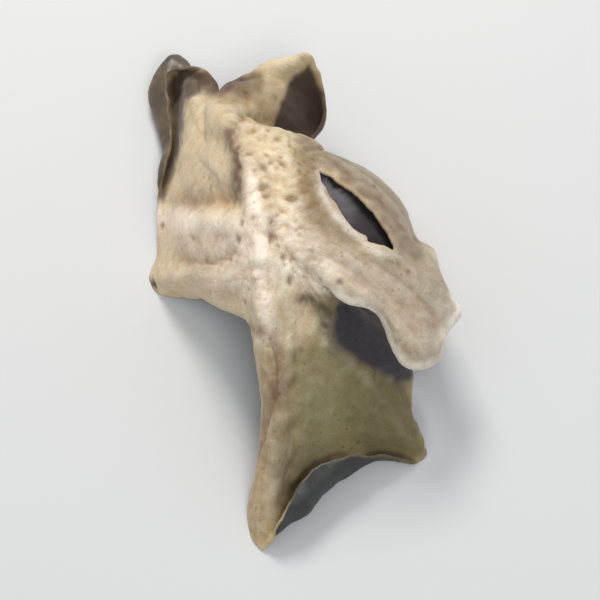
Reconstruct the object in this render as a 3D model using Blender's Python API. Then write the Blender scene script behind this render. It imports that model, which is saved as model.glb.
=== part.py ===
"""A dried wood ear mushroom: one thin crumpled sheet, pale and suede-like outside and black inside.

It is laid out on spokes that run from the crown of the sheet to its edge. Each spoke says which points the
sheet passes on the way there and how its lip curls. Lengths are in millimetres until the end.
"""

import math
from collections import namedtuple

import bmesh
import bpy
import numpy as np
from mathutils import Vector
from mathutils.bvhtree import BVHTree
from mathutils.geometry import delaunay_2d_cdt

MM = 0.001

# The sheet is laid out as a viewer sees it who looks down at this angle, facing +Y.
VIEW_ELEVATION = math.radians(65)

# Crown of the sheet: across, up the view, and height over the floor.
CROWN = (-8.6, 15.0, 32.8)

# curl: degrees that the lip turns under, or back over the sheet if negative. lip: its length. bend: share
# of the lip over which it turns. path: points (across, up, height) from the crown to the edge.
Spoke = namedtuple("Spoke", "name curl lip bend path")
SPOKES = [
    Spoke("wing tip", 30, 2.4, 0.6, [(1.2, 13.1, 32), (14, 5.0, 28.5), (25.8, -2.4, 19.6)]),
    Spoke("wing right", 75, 4.5, 0.4, [(2, 13.5, 31.8), (14, 6.7, 28.3), (23.8, 3.6, 19.2)]),
    Spoke("wing shoulder", 85, 8, 0.45, [(3, 14.5, 31.5), (14, 9, 27), (21.3, 8.2, 19)]),
    Spoke("strip right", 40, 6, 0.6, [(3, 17, 31), (17.5, 13.2, 19), (18.3, 5.8, 7.5)]),
    Spoke("strip middle", 60, 6, 0.6, [(2, 19, 30.5), (12.3, 21.2, 18.5), (13.5, 12.6, 4.2)]),
    Spoke("strip left", 50, 6, 0.6, [(0, 20.5, 30.5), (6.2, 25.4, 20.5), (7.8, 15.4, 5.2)]),
    Spoke("panel top right", 65, 4, 0.35, [(-3, 21.5, 30.5), (1.8, 28.4, 23)]),
    Spoke("panel top middle", 70, 3, 0.35, [(-5, 22, 31), (-2.5, 29.0, 26)]),
    Spoke("panel top left", 50, 2.5, 0.6, [(-7.5, 23, 31), (-7.5, 30.2, 28)]),
    Spoke("notch", 10, 1.0, 0.6, [(-9.4, 23, 31.2), (-11.2, 30.6, 27.8)]),
    Spoke("horn hidden", 0, 2, 0.6, [
        (-12.2, 24.5, 29.2), (-13.6, 32.2, 24.4), (-9.5, 31.8, 18), (-2.5, 28.0, 11.5)]),
    Spoke("horn low", -150, 4, 0.6, [
        (-13.4, 25.3, 27.8), (-14.8, 33.4, 22.4), (-7.6, 33.6, 17.6), (1.6, 31.4, 8)]),
    Spoke("horn middle", -120, 4, 0.6, [
        (-14.5, 26, 26.3), (-15.6, 34.6, 20.6), (-6.6, 37.6, 18.6), (1.0, 36.8, 11)]),
    Spoke("horn tip", -20, 1.2, 0.6, [
        (-15.5, 26.3, 24.8), (-16.0, 35.6, 18.8), (-7.5, 40.2, 18.5), (-0.6, 43.8, 20.5)]),
    Spoke("horn top", 60, 4, 0.6, [(-16.3, 26.5, 23.4), (-16.0, 36.3, 17), (-6.8, 42.0, 17)]),
    Spoke("rim", 85, 6, 0.6, [(-17, 26.5, 22), (-15.6, 35.4, 15.2), (-11.6, 37.4, 14.0)]),
    Spoke("saddle", 95, 9, 0.6, [(-17.8, 26.3, 20.4), (-15.8, 35.0, 12.8)]),
    Spoke("saddle left", 40, 3, 0.6, [(-18.3, 25.8, 18.8), (-18.0, 36.6, 10.5)]),
    Spoke("left horn inner", -80, 3, 0.8, [(-18.8, 25.2, 17.4), (-19.6, 39.8, 7.5)]),
    Spoke("left horn top", -205, 10, 0.9, [(-19.2, 24.4, 16.2), (-22.2, 41.4, 5.6)]),
    Spoke("left horn outer", -228, 14, 0.84, [(-19.6, 23, 15), (-23.4, 37.8, 3.0)]),
    Spoke("left band", -220, 9, 0.84, [(-19.8, 21, 14.8), (-23.4, 29.8, 3.2)]),
    Spoke("left band foot", -200, 5.5, 0.8, [(-20.0, 17, 15.2), (-24.6, 22.0, 3.2)]),
    Spoke("left edge", -40, 3, 0.6, [(-20, 13, 16), (-25.2, 14.0, 4.6)]),
    Spoke("left edge low", 15, 2.5, 0.6, [(-19, 10, 17), (-25.6, 8.0, 3.4)]),
    Spoke("left corner", 10, 1.5, 0.6, [(-18, 7, 18), (-27.6, 3.0, 1.5)]),
    Spoke("left underside", 50, 3, 0.6, [(-16, 6.5, 21), (-20.8, 1.6, 8)]),
    Spoke("waist", 60, 3, 0.6, [(-12, 5, 26), (-15.8, -0.8, 15)]),
    Spoke("scar", 60, 2.5, 0.6, [(-8.9, 5, 29.8), (-9.8, -4.2, 22)]),
    Spoke("pleat high", 60, 4, 0.6, [(-8.4, 4, 30.2), (-8.0, -4.5, 26), (-8.6, -12.5, 16.5)]),
    Spoke("pleat middle", 60, 4, 0.6, [
        (-7.9, 3.5, 30.2), (-7.2, -5, 26), (-5.8, -15, 20.5), (-7.8, -26.0, 10)]),
    Spoke("pleat foot", 30, 2, 0.6, [
        (-7.3, 3.2, 30.1), (-6.4, -5, 25.8), (-4.9, -18, 18.5), (-9.6, -37.0, 4)]),
    Spoke("bottom tip", 5, 0.7, 0.6, [
        (-6.7, 3, 30), (-5.6, -5, 25.4), (-4.0, -19, 17.5), (-8.5, -44.0, 0.9)]),
    Spoke("bottom lip low", -230, 12, 0.95, [
        (-6.1, 3, 29.8), (-4.8, -4.5, 25), (-2.4, -18, 17), (-4.6, -35.2, 4.2)]),
    Spoke("bottom lip", -235, 13, 0.95, [
        (-5.5, 3, 29.5), (-4.0, -4, 24.6), (-0.6, -16, 17), (0.0, -30.6, 4.2)]),
    Spoke("bottom lip right", -220, 10, 0.95, [
        (-4.9, 3.2, 29.2), (-3.2, -3.4, 24.4), (1.4, -14.5, 17), (6.8, -27.4, 4.2)]),
    Spoke("bottom lip end", -160, 4.6, 0.9, [
        (-4.4, 3.5, 29), (-2.4, -2.8, 24.2), (3.6, -13, 17), (14.0, -27.0, 2.8)]),
    Spoke("bottom corner", 0, 0.7, 0.6, [
        (-3.9, 3.8, 28.8), (-1.6, -2.2, 24), (5.2, -11.2, 17), (20.8, -28.2, 1.2)]),
    Spoke("right edge", 25, 2, 0.6, [
        (-3.4, 4.2, 28.7), (-0.8, -1.5, 23.8), (5.8, -9, 17.5), (17.4, -20.6, 6.5)]),
    Spoke("right edge high", 40, 3, 0.6, [
        (-3.0, 4.6, 28.6), (0.0, -0.8, 23.6), (5.8, -6.4, 18), (16.8, -13.5, 10)]),
    Spoke("hidden edge", 30, 2, 0.6, [
        (-2.6, 5.1, 28.6), (0.8, 0.0, 23.6), (5.4, -3.0, 19), (13.0, -5.0, 13.5)]),
    Spoke("slit lower", 20, 1.5, 0.6, [(-2.4, 5.8, 28.8), (1.6, 1.4, 23.6), (6.8, 0.2, 18.4)]),
    Spoke("slit", 5, 1.0, 0.6, [(-2.4, 7.6, 29.6), (2.2, 3.4, 25.0)]),
    Spoke("wing edge inner", 60, 2.5, 0.6, [(-2.4, 10.4, 32.0), (2.0, 6.4, 31.2), (4.4, 2.4, 30.0)]),
    Spoke("wing edge", 95, 3.5, 0.3, [(-1.8, 11.4, 32.4), (4.6, 6.8, 31), (8.5, 0.2, 28)]),
    Spoke("wing edge outer", 95, 4, 0.3, [(-1.2, 11.9, 32.5), (8.0, 5.8, 30.5), (13.4, -2.2, 25.5)]),
    Spoke("wing corner", 65, 3.2, 0.4, [(-0.6, 12.3, 32.5), (11, 4.5, 29.5), (18.9, -10.2, 20.5)]),
    Spoke("wing end", 40, 2.4, 0.5, [(0.1, 12.5, 32.3), (12.6, 4.1, 29.1), (23.0, -9.2, 18.8)]),
    Spoke("wing notch", 35, 1.2, 0.5, [(0.6, 12.8, 32.2), (13.4, 4.4, 28.9), (23.6, -5.4, 19.6)]),
]

BODY_STATION_GAP = 4.0
LIP_STATION_GAP = 1.7

# A tear through the right lobe, as the viewer sees it (across, up).
TEAR = [
    (2.0, 23.2), (2.6, 18.6), (4.9, 14.6), (8.2, 11.2), (12.0, 8.4), (15.6, 7.4),
    (15.6, 9.0), (12.6, 13.4), (8.0, 17.8), (4.2, 21.8),
]

# Ridges (height over zero) and creases (under zero), as the viewer sees them. width is how far they reach.
Fold = namedtuple("Fold", "name height width sharp line")
FOLDS = [
    Fold("crest", 1.5, 2.0, True, [(-12.6, 31.0), (-9.3, 20), (-8.5, 12), (-7.7, 3.5), (-7.8, -3.5)]),
    Fold("crease beside crest", -1.3, 1.1, True, [(-13.5, 29.5), (-12.0, 25), (-11.0, 19)]),
    Fold("left panel upper crease", -1.3, 1.9, False, [
        (-23.5, 19), (-20.5, 16.5), (-15, 17.5), (-11, 16.5)]),
    Fold("left panel ridge", 1.2, 1.9, False, [(-24.5, 12.5), (-17, 13.3), (-10, 11.7)]),
    Fold("left panel lower crease", -1.2, 1.7, False, [(-23.5, 7), (-18.5, 6), (-12, 7.5)]),
    Fold("left panel foot ridge", 0.5, 1.2, True, [(-25, 4), (-17, -0.5), (-10, -3.4)]),
    Fold("shoulder ridge", 0.8, 1.8, True, [(-12.6, 31), (-17, 34.5), (-21, 36.5)]),
    Fold("shoulder crease", -0.8, 2.0, False, [(-21, 30), (-17, 28.5), (-14, 25)]),
    Fold("wing trough", -1.3, 3.2, False, [(-4.5, 14), (4.5, 7), (14, 1.5), (21, -6)]),
    Fold("wing lower ridge", 0.8, 1.1, True, [(-4, 9), (3, 3.8), (9, 1.2), (15, -3), (20, -9)]),
    Fold("wing upper crease", -0.7, 1.2, True, [(9, 8), (15, 4.4), (20, 0), (24, -5)]),
    Fold("tear rim", 1.0, 1.5, False, [
        (1.2, 22), (2.0, 17.5), (4.4, 13.6), (8.0, 10.2), (12, 7.4), (17, 6.4)]),
    Fold("strip ridge", 0.8, 1.6, False, [(2.5, 27), (8, 22.6), (13.5, 17.5), (18, 10.5)]),
    Fold("pleat crease", -1.6, 1.0, True, [(-6.9, -4.7), (-4.6, -12.5), (-6.6, -21), (-8.2, -27)]),
    Fold("pleat ridge", 0.7, 1.2, True, [(-8.8, -7), (-8.2, -14), (-8.4, -26), (-9.6, -36)]),
    Fold("sheet ridge", 0.9, 1.5, True, [(-2.4, 0), (-3.2, -10), (-4.6, -22), (-6.6, -33)]),
    Fold("lower sheet crease", -0.9, 3.5, False, [(0, -6), (5, -16), (8, -26)]),
    Fold("lower sheet ridge", 0.7, 2.5, True, [(2.5, -7), (11, -15), (18, -25)]),
]

# Chance folds that crumple the sheet all over.
CRUMPLES = 90
CRUMPLE_SEED = 11
CRUMPLE_HEIGHT = 0.55
FLAT_RADIUS = 42.0

THICKNESS = 1.2
RIM_THICKNESS = 0.65
DISC_RINGS = 28
LOOKUP_RINGS = 70
FAIRING = 2e-4

# How much of the lowest foot is cut off.
FOOT_CUT = 0.9

EVEN_ROUNDS = 4
EVEN_STEPS = 3
LEAST_THICKNESS = 0.45
UNTANGLE_ROUNDS = 24
UNTANGLE_REACH = 2

# The narrowest fold that this mesh can carry.
FINEST = 2.2


def from_view(across, up, height):
    """The point that a viewer at VIEW_ELEVATION sees at (across, up), at that height over the floor."""
    away = (up - height * math.cos(VIEW_ELEVATION)) / math.sin(VIEW_ELEVATION)
    return np.array([across, away, height])


def to_view(points):
    """Where the viewer sees points, and how near they are."""
    up = points[:, 1] * math.sin(VIEW_ELEVATION) + points[:, 2] * math.cos(VIEW_ELEVATION)
    near = points[:, 2] * math.sin(VIEW_ELEVATION) - points[:, 1] * math.cos(VIEW_ELEVATION)
    return np.stack([points[:, 0], up], axis=1), near


def smooth_path(points, shares):
    """Points at shares of the length of a smooth curve through the given points."""
    points = np.array(points, float)
    gaps = np.linalg.norm(np.diff(points, axis=0), axis=1)
    knots = np.concatenate([[0.0], np.cumsum(gaps)])
    slopes = np.gradient(points, knots, axis=0)
    fine = np.linspace(0, knots[-1], 200)
    i = np.clip(np.searchsorted(knots, fine, side="right") - 1, 0, len(knots) - 2)
    span = (knots[i + 1] - knots[i])[:, None]
    t = (fine - knots[i])[:, None] / span
    curve = (
        points[i] * (1 + 2 * t) * (1 - t) ** 2
        + slopes[i] * span * t * (1 - t) ** 2
        + points[i + 1] * t * t * (3 - 2 * t)
        + slopes[i + 1] * span * t * t * (t - 1)
    )
    lengths = np.concatenate([[0.0], np.cumsum(np.linalg.norm(np.diff(curve, axis=0), axis=1))])
    at = np.array(shares) * lengths[-1]
    return np.stack([np.interp(at, lengths, curve[:, k]) for k in range(points.shape[1])], axis=1)


def unit(vector):
    return vector / np.linalg.norm(vector)


def spoke_bodies():
    """Stations of each spoke from the crown to the edge."""
    bodies = []
    for spoke in SPOKES:
        path = [from_view(*CROWN)] + [from_view(*p) for p in spoke.path]
        length = np.linalg.norm(np.diff(path, axis=0), axis=1).sum()
        count = max(round(length / BODY_STATION_GAP), 3)
        bodies.append(smooth_path(path, np.arange(count + 1) / count))
    return bodies


def lip_stations(spoke, body, before, after):
    """Stations of the lip of a spoke, square to the edge, which runs from before to after."""
    rim = unit(unit(body[-1] - before) + unit(after - body[-1]))
    above = unit(np.cross(unit(body[-1] - body[-2]), rim))
    heading = np.cross(rim, above)
    count = min(max(round(spoke.lip / LIP_STATION_GAP), 1), 6)
    steps = 12
    points, here = [], body[-1]
    for k in range(count):
        for j in range(steps):
            share = (k + (j + 0.5) / steps) / count
            angle = math.radians(spoke.curl) * min(share / spoke.bend, 1.0)
            way = heading * math.cos(angle) - above * math.sin(angle)
            here = here + way * (spoke.lip / count / steps)
        points.append(here)
    return points


def spoke_net():
    """Stations of each spoke, its body and then its lip, with the share of its length at each."""
    bodies = spoke_bodies()
    edges = [body[-1] for body in bodies]
    net = []
    for i, spoke in enumerate(SPOKES):
        lip = lip_stations(spoke, bodies[i], edges[i - 1], edges[(i + 1) % len(edges)])
        stations = np.array(list(bodies[i]) + lip)
        lengths = np.concatenate([[0.0], np.cumsum(np.linalg.norm(np.diff(stations, axis=0), axis=1))])
        net.append((stations, lengths / lengths[-1]))
    return net


def plate_kernel(a, b):
    """Thin plate kernel between two sets of points on the flat disc."""
    squares = ((a[:, None, :] - b[None, :, :]) ** 2).sum(axis=2)
    return 0.5 * squares * np.log(squares + 1e-12)


class Sheet:
    """The sheet's middle surface: a thin plate that passes the stations of all the spokes."""

    def __init__(self):
        net = spoke_net()
        edge = np.array([stations[-2] for stations, _ in net])
        gaps = np.linalg.norm(edge - np.roll(edge, 1, axis=0), axis=1) + 1.5
        turns = np.cumsum(gaps) / gaps.sum() * 2 * math.pi
        flat, solid = [[0.0, 0.0]], [from_view(*CROWN)]
        for (stations, radii), turn in zip(net, turns):
            for radius, point in list(zip(radii, stations))[1:]:
                flat.append([radius * math.cos(turn), radius * math.sin(turn)])
                solid.append(point)
        self.flat, solid = np.array(flat), np.array(solid)
        count = len(flat)
        system = np.zeros((count + 3, count + 3))
        system[:count, :count] = plate_kernel(self.flat, self.flat) + FAIRING * np.eye(count)
        system[:count, count] = 1
        system[:count, count + 1:] = self.flat
        system[count, :count] = 1
        system[count + 1:, :count] = self.flat.T
        self.weights = np.linalg.solve(system, np.concatenate([solid, np.zeros((3, 3))]))
        self.lookup_flat = disc_points(LOOKUP_RINGS)
        self.lookup = self.points(self.lookup_flat)
        self.lookup_view, self.lookup_near = to_view(self.lookup)

    def points(self, flat):
        found = []
        for part in np.array_split(flat, max(1, len(flat) // 4000)):
            found.append(
                plate_kernel(part, self.flat) @ self.weights[:-3]
                + self.weights[-3] + part @ self.weights[-2:]
            )
        return np.concatenate(found)

    def seen(self, across, up):
        """The place on the flat disc of the topmost layer that the viewer sees at (across, up)."""
        gap = np.hypot(self.lookup_view[:, 0] - across, self.lookup_view[:, 1] - up)
        score = self.lookup_near - 6 * np.maximum(gap - 0.5, 0)
        return int(np.argmax(np.where(gap < max(2.0, gap.min() + 0.3), score, -1e9)))


def disc_points(rings):
    """Points of a disc in rings: ring k has 6k points."""
    points = [(0.0, 0.0)]
    for k in range(1, rings + 1):
        for j in range(6 * k):
            turn = j / (6 * k) * 2 * math.pi
            points.append((k / rings * math.cos(turn), k / rings * math.sin(turn)))
    return np.array(points)


def inside_loop(points, loop):
    """Which of the points lie inside a closed loop."""
    inside = np.zeros(len(points), bool)
    for a, b in zip(loop, np.roll(loop, -1, axis=0)):
        crosses = (a[1] > points[:, 1]) != (b[1] > points[:, 1])
        rise = b[1] - a[1] if b[1] != a[1] else 1e-12
        x = a[0] + (points[:, 1] - a[1]) * (b[0] - a[0]) / rise
        inside ^= crosses & (points[:, 0] < x)
    return inside


def tear_loop(sheet, spacing):
    """The tear's outline on the flat disc, with points a spacing apart."""
    flat = np.array([sheet.lookup_flat[sheet.seen(*p)] for p in TEAR])
    for _ in range(3):
        after = np.roll(flat, -1, axis=0)
        flat = np.stack([0.75 * flat + 0.25 * after, 0.25 * flat + 0.75 * after], axis=1).reshape(-1, 2)
    closed = np.concatenate([flat, flat[:1]])
    lengths = np.concatenate([[0.0], np.cumsum(np.linalg.norm(np.diff(closed, axis=0), axis=1))])
    count = max(12, round(lengths[-1] / spacing))
    at = np.arange(count) / count * lengths[-1]
    return np.stack([np.interp(at, lengths, closed[:, k]) for k in range(2)], axis=1)


def flat_mesh(sheet, rings):
    """Points and triangles of the flat disc without the tear, the outer ring and the tear's loop."""
    spacing = 1.0 / rings
    loop = tear_loop(sheet, spacing)
    points = disc_points(rings)
    away = np.sqrt(((points[:, None] - loop[None]) ** 2).sum(axis=2)).min(axis=1)
    keep = (away > 0.62 * spacing) & ~inside_loop(points, loop)
    points = np.concatenate([loop, points[keep]])
    count, outer = len(points), 6 * rings
    hole = list(range(len(loop)))
    ring = list(range(count - outer, count))
    edges = [(a, b) for a, b in zip(hole, hole[1:] + hole[:1])]
    edges += [(a, b) for a, b in zip(ring, ring[1:] + ring[:1])]
    faces = delaunay_2d_cdt([Vector(p) for p in points], edges, [], 0, 1e-7)[2]
    centres = np.array([points[list(f)].mean(axis=0) for f in faces])
    keep = ~inside_loop(centres, loop)
    triangles = []
    for face, kept in zip(faces, keep):
        if not kept:
            continue
        a, b, c = face
        (ax, ay), (bx, by), (cx, cy) = points[a], points[b], points[c]
        if (bx - ax) * (cy - ay) - (by - ay) * (cx - ax) < 0:
            b, c = c, b
        triangles.append((a, b, c))
    return points, np.array(triangles), ring, hole


def normals(points, triangles):
    """Normals of a mesh at its points."""
    a, b, c = (points[triangles[:, k]] for k in range(3))
    face = np.cross(b - a, c - a)
    total = np.zeros_like(points)
    for k in range(3):
        np.add.at(total, triangles[:, k], face)
    return total / np.maximum(np.linalg.norm(total, axis=1, keepdims=True), 1e-12)


def neat_triangles(points, triangles):
    """The same surface with edges turned so that its triangles are as even as they can be."""
    body = bmesh.new()
    for p in points:
        body.verts.new(p)
    body.verts.ensure_lookup_table()
    for t in triangles.tolist():
        body.faces.new([body.verts[i] for i in t])
    body.normal_update()
    inner = [e for e in body.edges if len(e.link_faces) == 2]
    bmesh.ops.beautify_fill(body, faces=list(body.faces), edges=inner, method="ANGLE")
    body.verts.index_update()
    found = np.array([[v.index for v in f.verts] for f in body.faces])
    body.free()
    return found


def even_out(sheet, flat, triangles, fixed):
    """Slides the points over the sheet until they are evenly spaced. The fixed ones stay."""
    moving = np.ones(len(flat), bool)
    moving[fixed] = False
    points = sheet.points(flat)
    for _ in range(EVEN_ROUNDS):
        triangles = neat_triangles(points, triangles)
        for _ in range(EVEN_STEPS):
            total = np.zeros_like(flat)
            weight = np.zeros(len(flat))
            for a, b in ((0, 1), (1, 2), (2, 0)):
                i, j = triangles[:, a], triangles[:, b]
                pull = np.linalg.norm(points[i] - points[j], axis=1)
                np.add.at(total, i, pull[:, None] * flat[j])
                np.add.at(total, j, pull[:, None] * flat[i])
                np.add.at(weight, i, pull)
                np.add.at(weight, j, pull)
            target = total / weight[:, None]
            flat = np.where(moving[:, None], 0.3 * flat + 0.7 * target, flat)
            points = sheet.points(flat)
    return flat, neat_triangles(points, triangles), points


def stretch(points, flat, triangles):
    """How much of its flat size the sheet has at each point, at most one."""
    def areas(p):
        a, b, c = (p[triangles[:, k]] for k in range(3))
        u, v = b - a, c - a
        if p.shape[1] == 2:
            return np.abs(u[:, 0] * v[:, 1] - u[:, 1] * v[:, 0]) / 2
        return np.linalg.norm(np.cross(u, v), axis=1) / 2
    solid, plain = np.zeros(len(points)), np.zeros(len(points))
    for k in range(3):
        np.add.at(solid, triangles[:, k], areas(points))
        np.add.at(plain, triangles[:, k], areas(flat * FLAT_RADIUS))
    return np.minimum(np.sqrt(solid / plain), 1.0)


def line_distance(points, line):
    """Distance of points from a line, and how far along it they are as a share."""
    best = np.full(len(points), 1e9)
    along = np.zeros(len(points))
    lengths = np.concatenate([[0.0], np.cumsum(np.linalg.norm(np.diff(line, axis=0), axis=1))])
    for k in range(len(line) - 1):
        way = line[k + 1] - line[k]
        size = way @ way
        if size < 1e-12:
            continue
        t = np.clip(((points - line[k]) @ way) / size, 0, 1)
        gap = np.linalg.norm(points - line[k] - t[:, None] * way, axis=1)
        nearer = gap < best
        best = np.where(nearer, gap, best)
        along = np.where(nearer, (lengths[k] + t * (lengths[k + 1] - lengths[k])) / lengths[-1], along)
    return best, along


def fold_heights(sheet, points):
    """Height of the named folds at each point of the sheet."""
    heights = np.zeros(len(points))
    for fold in FOLDS:
        view_line = smooth_path(fold.line, np.linspace(0, 1, 16))
        line = np.array([sheet.lookup[sheet.seen(*p)] for p in view_line])
        for _ in range(4):
            line[1:-1] = (line[:-2] + 2 * line[1:-1] + line[2:]) / 4
        gap, along = line_distance(points, line)
        taper = np.clip(np.minimum(along, 1 - along) * 6 + 0.25, 0, 1)
        width = max(fold.width, FINEST)
        if fold.sharp:
            blunt = np.hypot(gap, 0.5 * FINEST) - 0.5 * FINEST
            shape = np.exp(-blunt / width) - 0.25 * np.exp(-((gap / (2.2 * width)) ** 2))
        else:
            shape = np.exp(-((gap / width) ** 2))
        heights += fold.height * taper * shape
    return heights


def crumple_heights(flat):
    """Height of the chance folds at each point of the flat disc."""
    chance = np.random.default_rng(CRUMPLE_SEED)
    place = flat * FLAT_RADIUS
    heights = np.zeros(len(flat))
    for _ in range(CRUMPLES):
        radius = FLAT_RADIUS * math.sqrt(chance.uniform(0.02, 1.0))
        turn = chance.uniform(0, 2 * math.pi)
        centre = np.array([radius * math.cos(turn), radius * math.sin(turn)])
        way = turn + chance.normal(0, 0.5)
        along = (place - centre) @ np.array([math.cos(way), math.sin(way)])
        across = (place - centre) @ np.array([-math.sin(way), math.cos(way)])
        across = across + 0.12 * chance.normal() * along ** 2 / 6
        length = chance.uniform(4, 10)
        width = max(chance.uniform(1.2, 3.0), FINEST)
        height = CRUMPLE_HEIGHT * chance.choice([-1, 1]) * chance.uniform(0.4, 1.0)
        blunt = np.hypot(across, 0.5 * FINEST) - 0.5 * FINEST
        heights += height * np.exp(-blunt / width) * np.exp(-((along / length) ** 2))
    return heights


def clear_scene():
    for obj in list(bpy.data.objects):
        bpy.data.objects.remove(obj, do_unlink=True)


def spared_thickness(middle, up, triangles, thick):
    """Thins the sheet in bends that are too tight for it, so that its skin does not fold over itself."""
    def face_normals(p):
        a, b, c = (p[triangles[:, k]] for k in range(3))
        return np.cross(b - a, c - a)
    plain = face_normals(middle)
    size = (plain ** 2).sum(axis=1)
    for _ in range(14):
        tight = np.zeros(len(triangles), bool)
        for side in (0.5, -0.5):
            skin = face_normals(middle + up * (side * 1.3 * thick)[:, None])
            tight |= (skin * plain).sum(axis=1) < 0.25 * size
        if not tight.any():
            break
        thin = np.unique(triangles[tight])
        thick[thin] = np.maximum(thick[thin] * 0.85, LEAST_THICKNESS)
    return thick


def rim_faces(triangles, loops, count):
    """Faces that join the outer skin to the inner one round the rim and the tear."""
    around = {(a, b) for t in triangles.tolist() for a, b in ((t[0], t[1]), (t[1], t[2]), (t[2], t[0]))}
    faces = []
    for loop in loops:
        for a, b in zip(loop, loop[1:] + loop[:1]):
            if (a, b) not in around:
                a, b = b, a
            faces.append((b, a, a + count))
            faces.append((b, a + count, b + count))
    return np.array(faces)


def skins(middle, triangles, thick):
    """Points of the outer skin and then the inner one."""
    up = normals(middle, triangles)
    return np.concatenate([middle + up * thick[:, None] / 2, middle - up * thick[:, None] / 2])


def crossing_points(points, faces):
    """Points of the faces that cross another face which they do not touch."""
    tree = BVHTree.FromPolygons(points.tolist(), faces.tolist(), epsilon=0.0)
    pairs = np.array(tree.overlap(tree), int).reshape(-1, 2)
    pairs = pairs[pairs[:, 0] < pairs[:, 1]]
    first, second = faces[pairs[:, 0]], faces[pairs[:, 1]]
    shared = (first[:, :, None] == second[:, None, :]).any(axis=(1, 2))
    return np.unique(np.concatenate([first[~shared].ravel(), second[~shared].ravel()]))


def untangle(middle, triangles, loops, thick, body_faces):
    """Smooths and thins the sheet wherever its skins cross, until they no longer do."""
    count = len(middle)
    links = np.concatenate([triangles[:, (0, 1)], triangles[:, (1, 2)], triangles[:, (2, 0)]])
    links = np.concatenate([links, links[:, ::-1]])
    rim = {}
    for loop in loops:
        for a, b, c in zip(loop[-1:] + loop[:-1], loop, loop[1:] + loop[:1]):
            rim[b] = (a, c)
    rim_ids = np.array(list(rim))
    rim_pairs = np.array([rim[i] for i in rim_ids])
    degree = np.bincount(links[:, 0], minlength=count)
    for _ in range(UNTANGLE_ROUNDS):
        bad = crossing_points(skins(middle, triangles, thick), body_faces)
        if not len(bad):
            break
        near = np.zeros(count, bool)
        near[bad % count] = True
        for _ in range(UNTANGLE_REACH):
            grown = near.copy()
            grown[links[near[links[:, 0]], 1]] = True
            near = grown
        for _ in range(4):
            total = np.zeros_like(middle)
            np.add.at(total, links[:, 0], middle[links[:, 1]])
            mean = total / degree[:, None]
            mean[rim_ids] = middle[rim_pairs].mean(axis=1)
            middle = np.where(near[:, None], 0.5 * middle + 0.5 * mean, middle)
        thick = np.where(near, np.maximum(thick * 0.93, LEAST_THICKNESS), thick)
    return middle, thick


def thick_sheet(rings):
    """Points and faces of the whole closed body, and which points belong to the dark inner side."""
    sheet = Sheet()
    flat, triangles, ring, hole = flat_mesh(sheet, rings)
    flat, triangles, middle = even_out(sheet, flat, triangles, ring + hole)
    size = stretch(middle, flat, triangles)
    heights = (fold_heights(sheet, middle) + crumple_heights(flat)) * size
    middle = middle + normals(middle, triangles) * heights[:, None]
    loop = flat[hole]
    near_hole = np.sqrt(((flat[:, None] - loop[None]) ** 2).sum(axis=2)).min(axis=1)
    edge = np.minimum(1 - np.hypot(flat[:, 0], flat[:, 1]), near_hole)
    share = np.clip(edge / 0.25, 0, 1)
    thick = RIM_THICKNESS + (THICKNESS - RIM_THICKNESS) * share * (2 - share)
    thick = spared_thickness(middle, normals(middle, triangles), triangles, thick)
    count = len(middle)
    faces = np.concatenate([
        triangles,
        triangles[:, ::-1] + count,
        rim_faces(triangles, (ring, hole), count),
    ])
    middle, thick = untangle(middle, triangles, (ring, hole), thick, faces)
    return skins(middle, triangles, thick), faces, np.arange(2 * count) >= count


def cut_feet(body):
    """Cuts the body off level with the floor, so that it rests on small flats."""
    everything = list(body.verts) + list(body.edges) + list(body.faces)
    bmesh.ops.bisect_plane(
        body, geom=everything, dist=1e-7, plane_co=(0, 0, 0), plane_no=(0, 0, 1), clear_inner=True)
    open_edges = [e for e in body.edges if len(e.link_faces) == 1]
    bmesh.ops.triangle_fill(body, use_beauty=True, edges=open_edges, normal=(0, 0, -1))
    bmesh.ops.triangulate(body, faces=list(body.faces))


def skin_material():
    """The suede-like skin of the outer side."""
    material = bpy.data.materials.new("wood_ear_skin")
    material.use_nodes = True
    shader = material.node_tree.nodes["Principled BSDF"]
    shader.inputs["Base Color"].default_value = (0.42, 0.35, 0.26, 1.0)
    shader.inputs["Roughness"].default_value = 0.85
    return material


def build_wood_ear():
    points, faces, inside = thick_sheet(DISC_RINGS)
    points[:, 2] -= points[:, 2].min() + FOOT_CUT
    body = bmesh.new()
    for p in points * MM:
        body.verts.new(p)
    body.verts.ensure_lookup_table()
    for face in faces:
        body.faces.new([body.verts[i] for i in face])
    cut_feet(body)
    low, high = (Vector([fit(v.co[k] for v in body.verts) for k in range(2)]) for fit in (min, max))
    bmesh.ops.translate(body, vec=-(low + high).to_3d() / 2, verts=list(body.verts))
    bmesh.ops.recalc_face_normals(body, faces=list(body.faces))
    mesh = bpy.data.meshes.new("wood_ear")
    body.to_mesh(mesh)
    body.free()
    mesh.materials.append(skin_material())
    for polygon in mesh.polygons:
        polygon.use_smooth = True
    obj = bpy.data.objects.new("wood_ear", mesh)
    bpy.context.scene.collection.objects.link(obj)
    return obj


def main():
    clear_scene()
    build_wood_ear()


main()
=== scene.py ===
"""The looks of a dried wood ear mushroom: a crumpled sheet, pale and suede-like outside, black inside.

The sheet is laid out as its solid is, on spokes that run from its crown to its edge. It is then divided
finely, folded and wrinkled, and painted. Lengths are in millimetres until the mesh is made.
"""

import itertools
import math
from collections import namedtuple

import bmesh
import bpy
import numpy as np
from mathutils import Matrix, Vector
from mathutils.bvhtree import BVHTree
from mathutils.geometry import delaunay_2d_cdt

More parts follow.
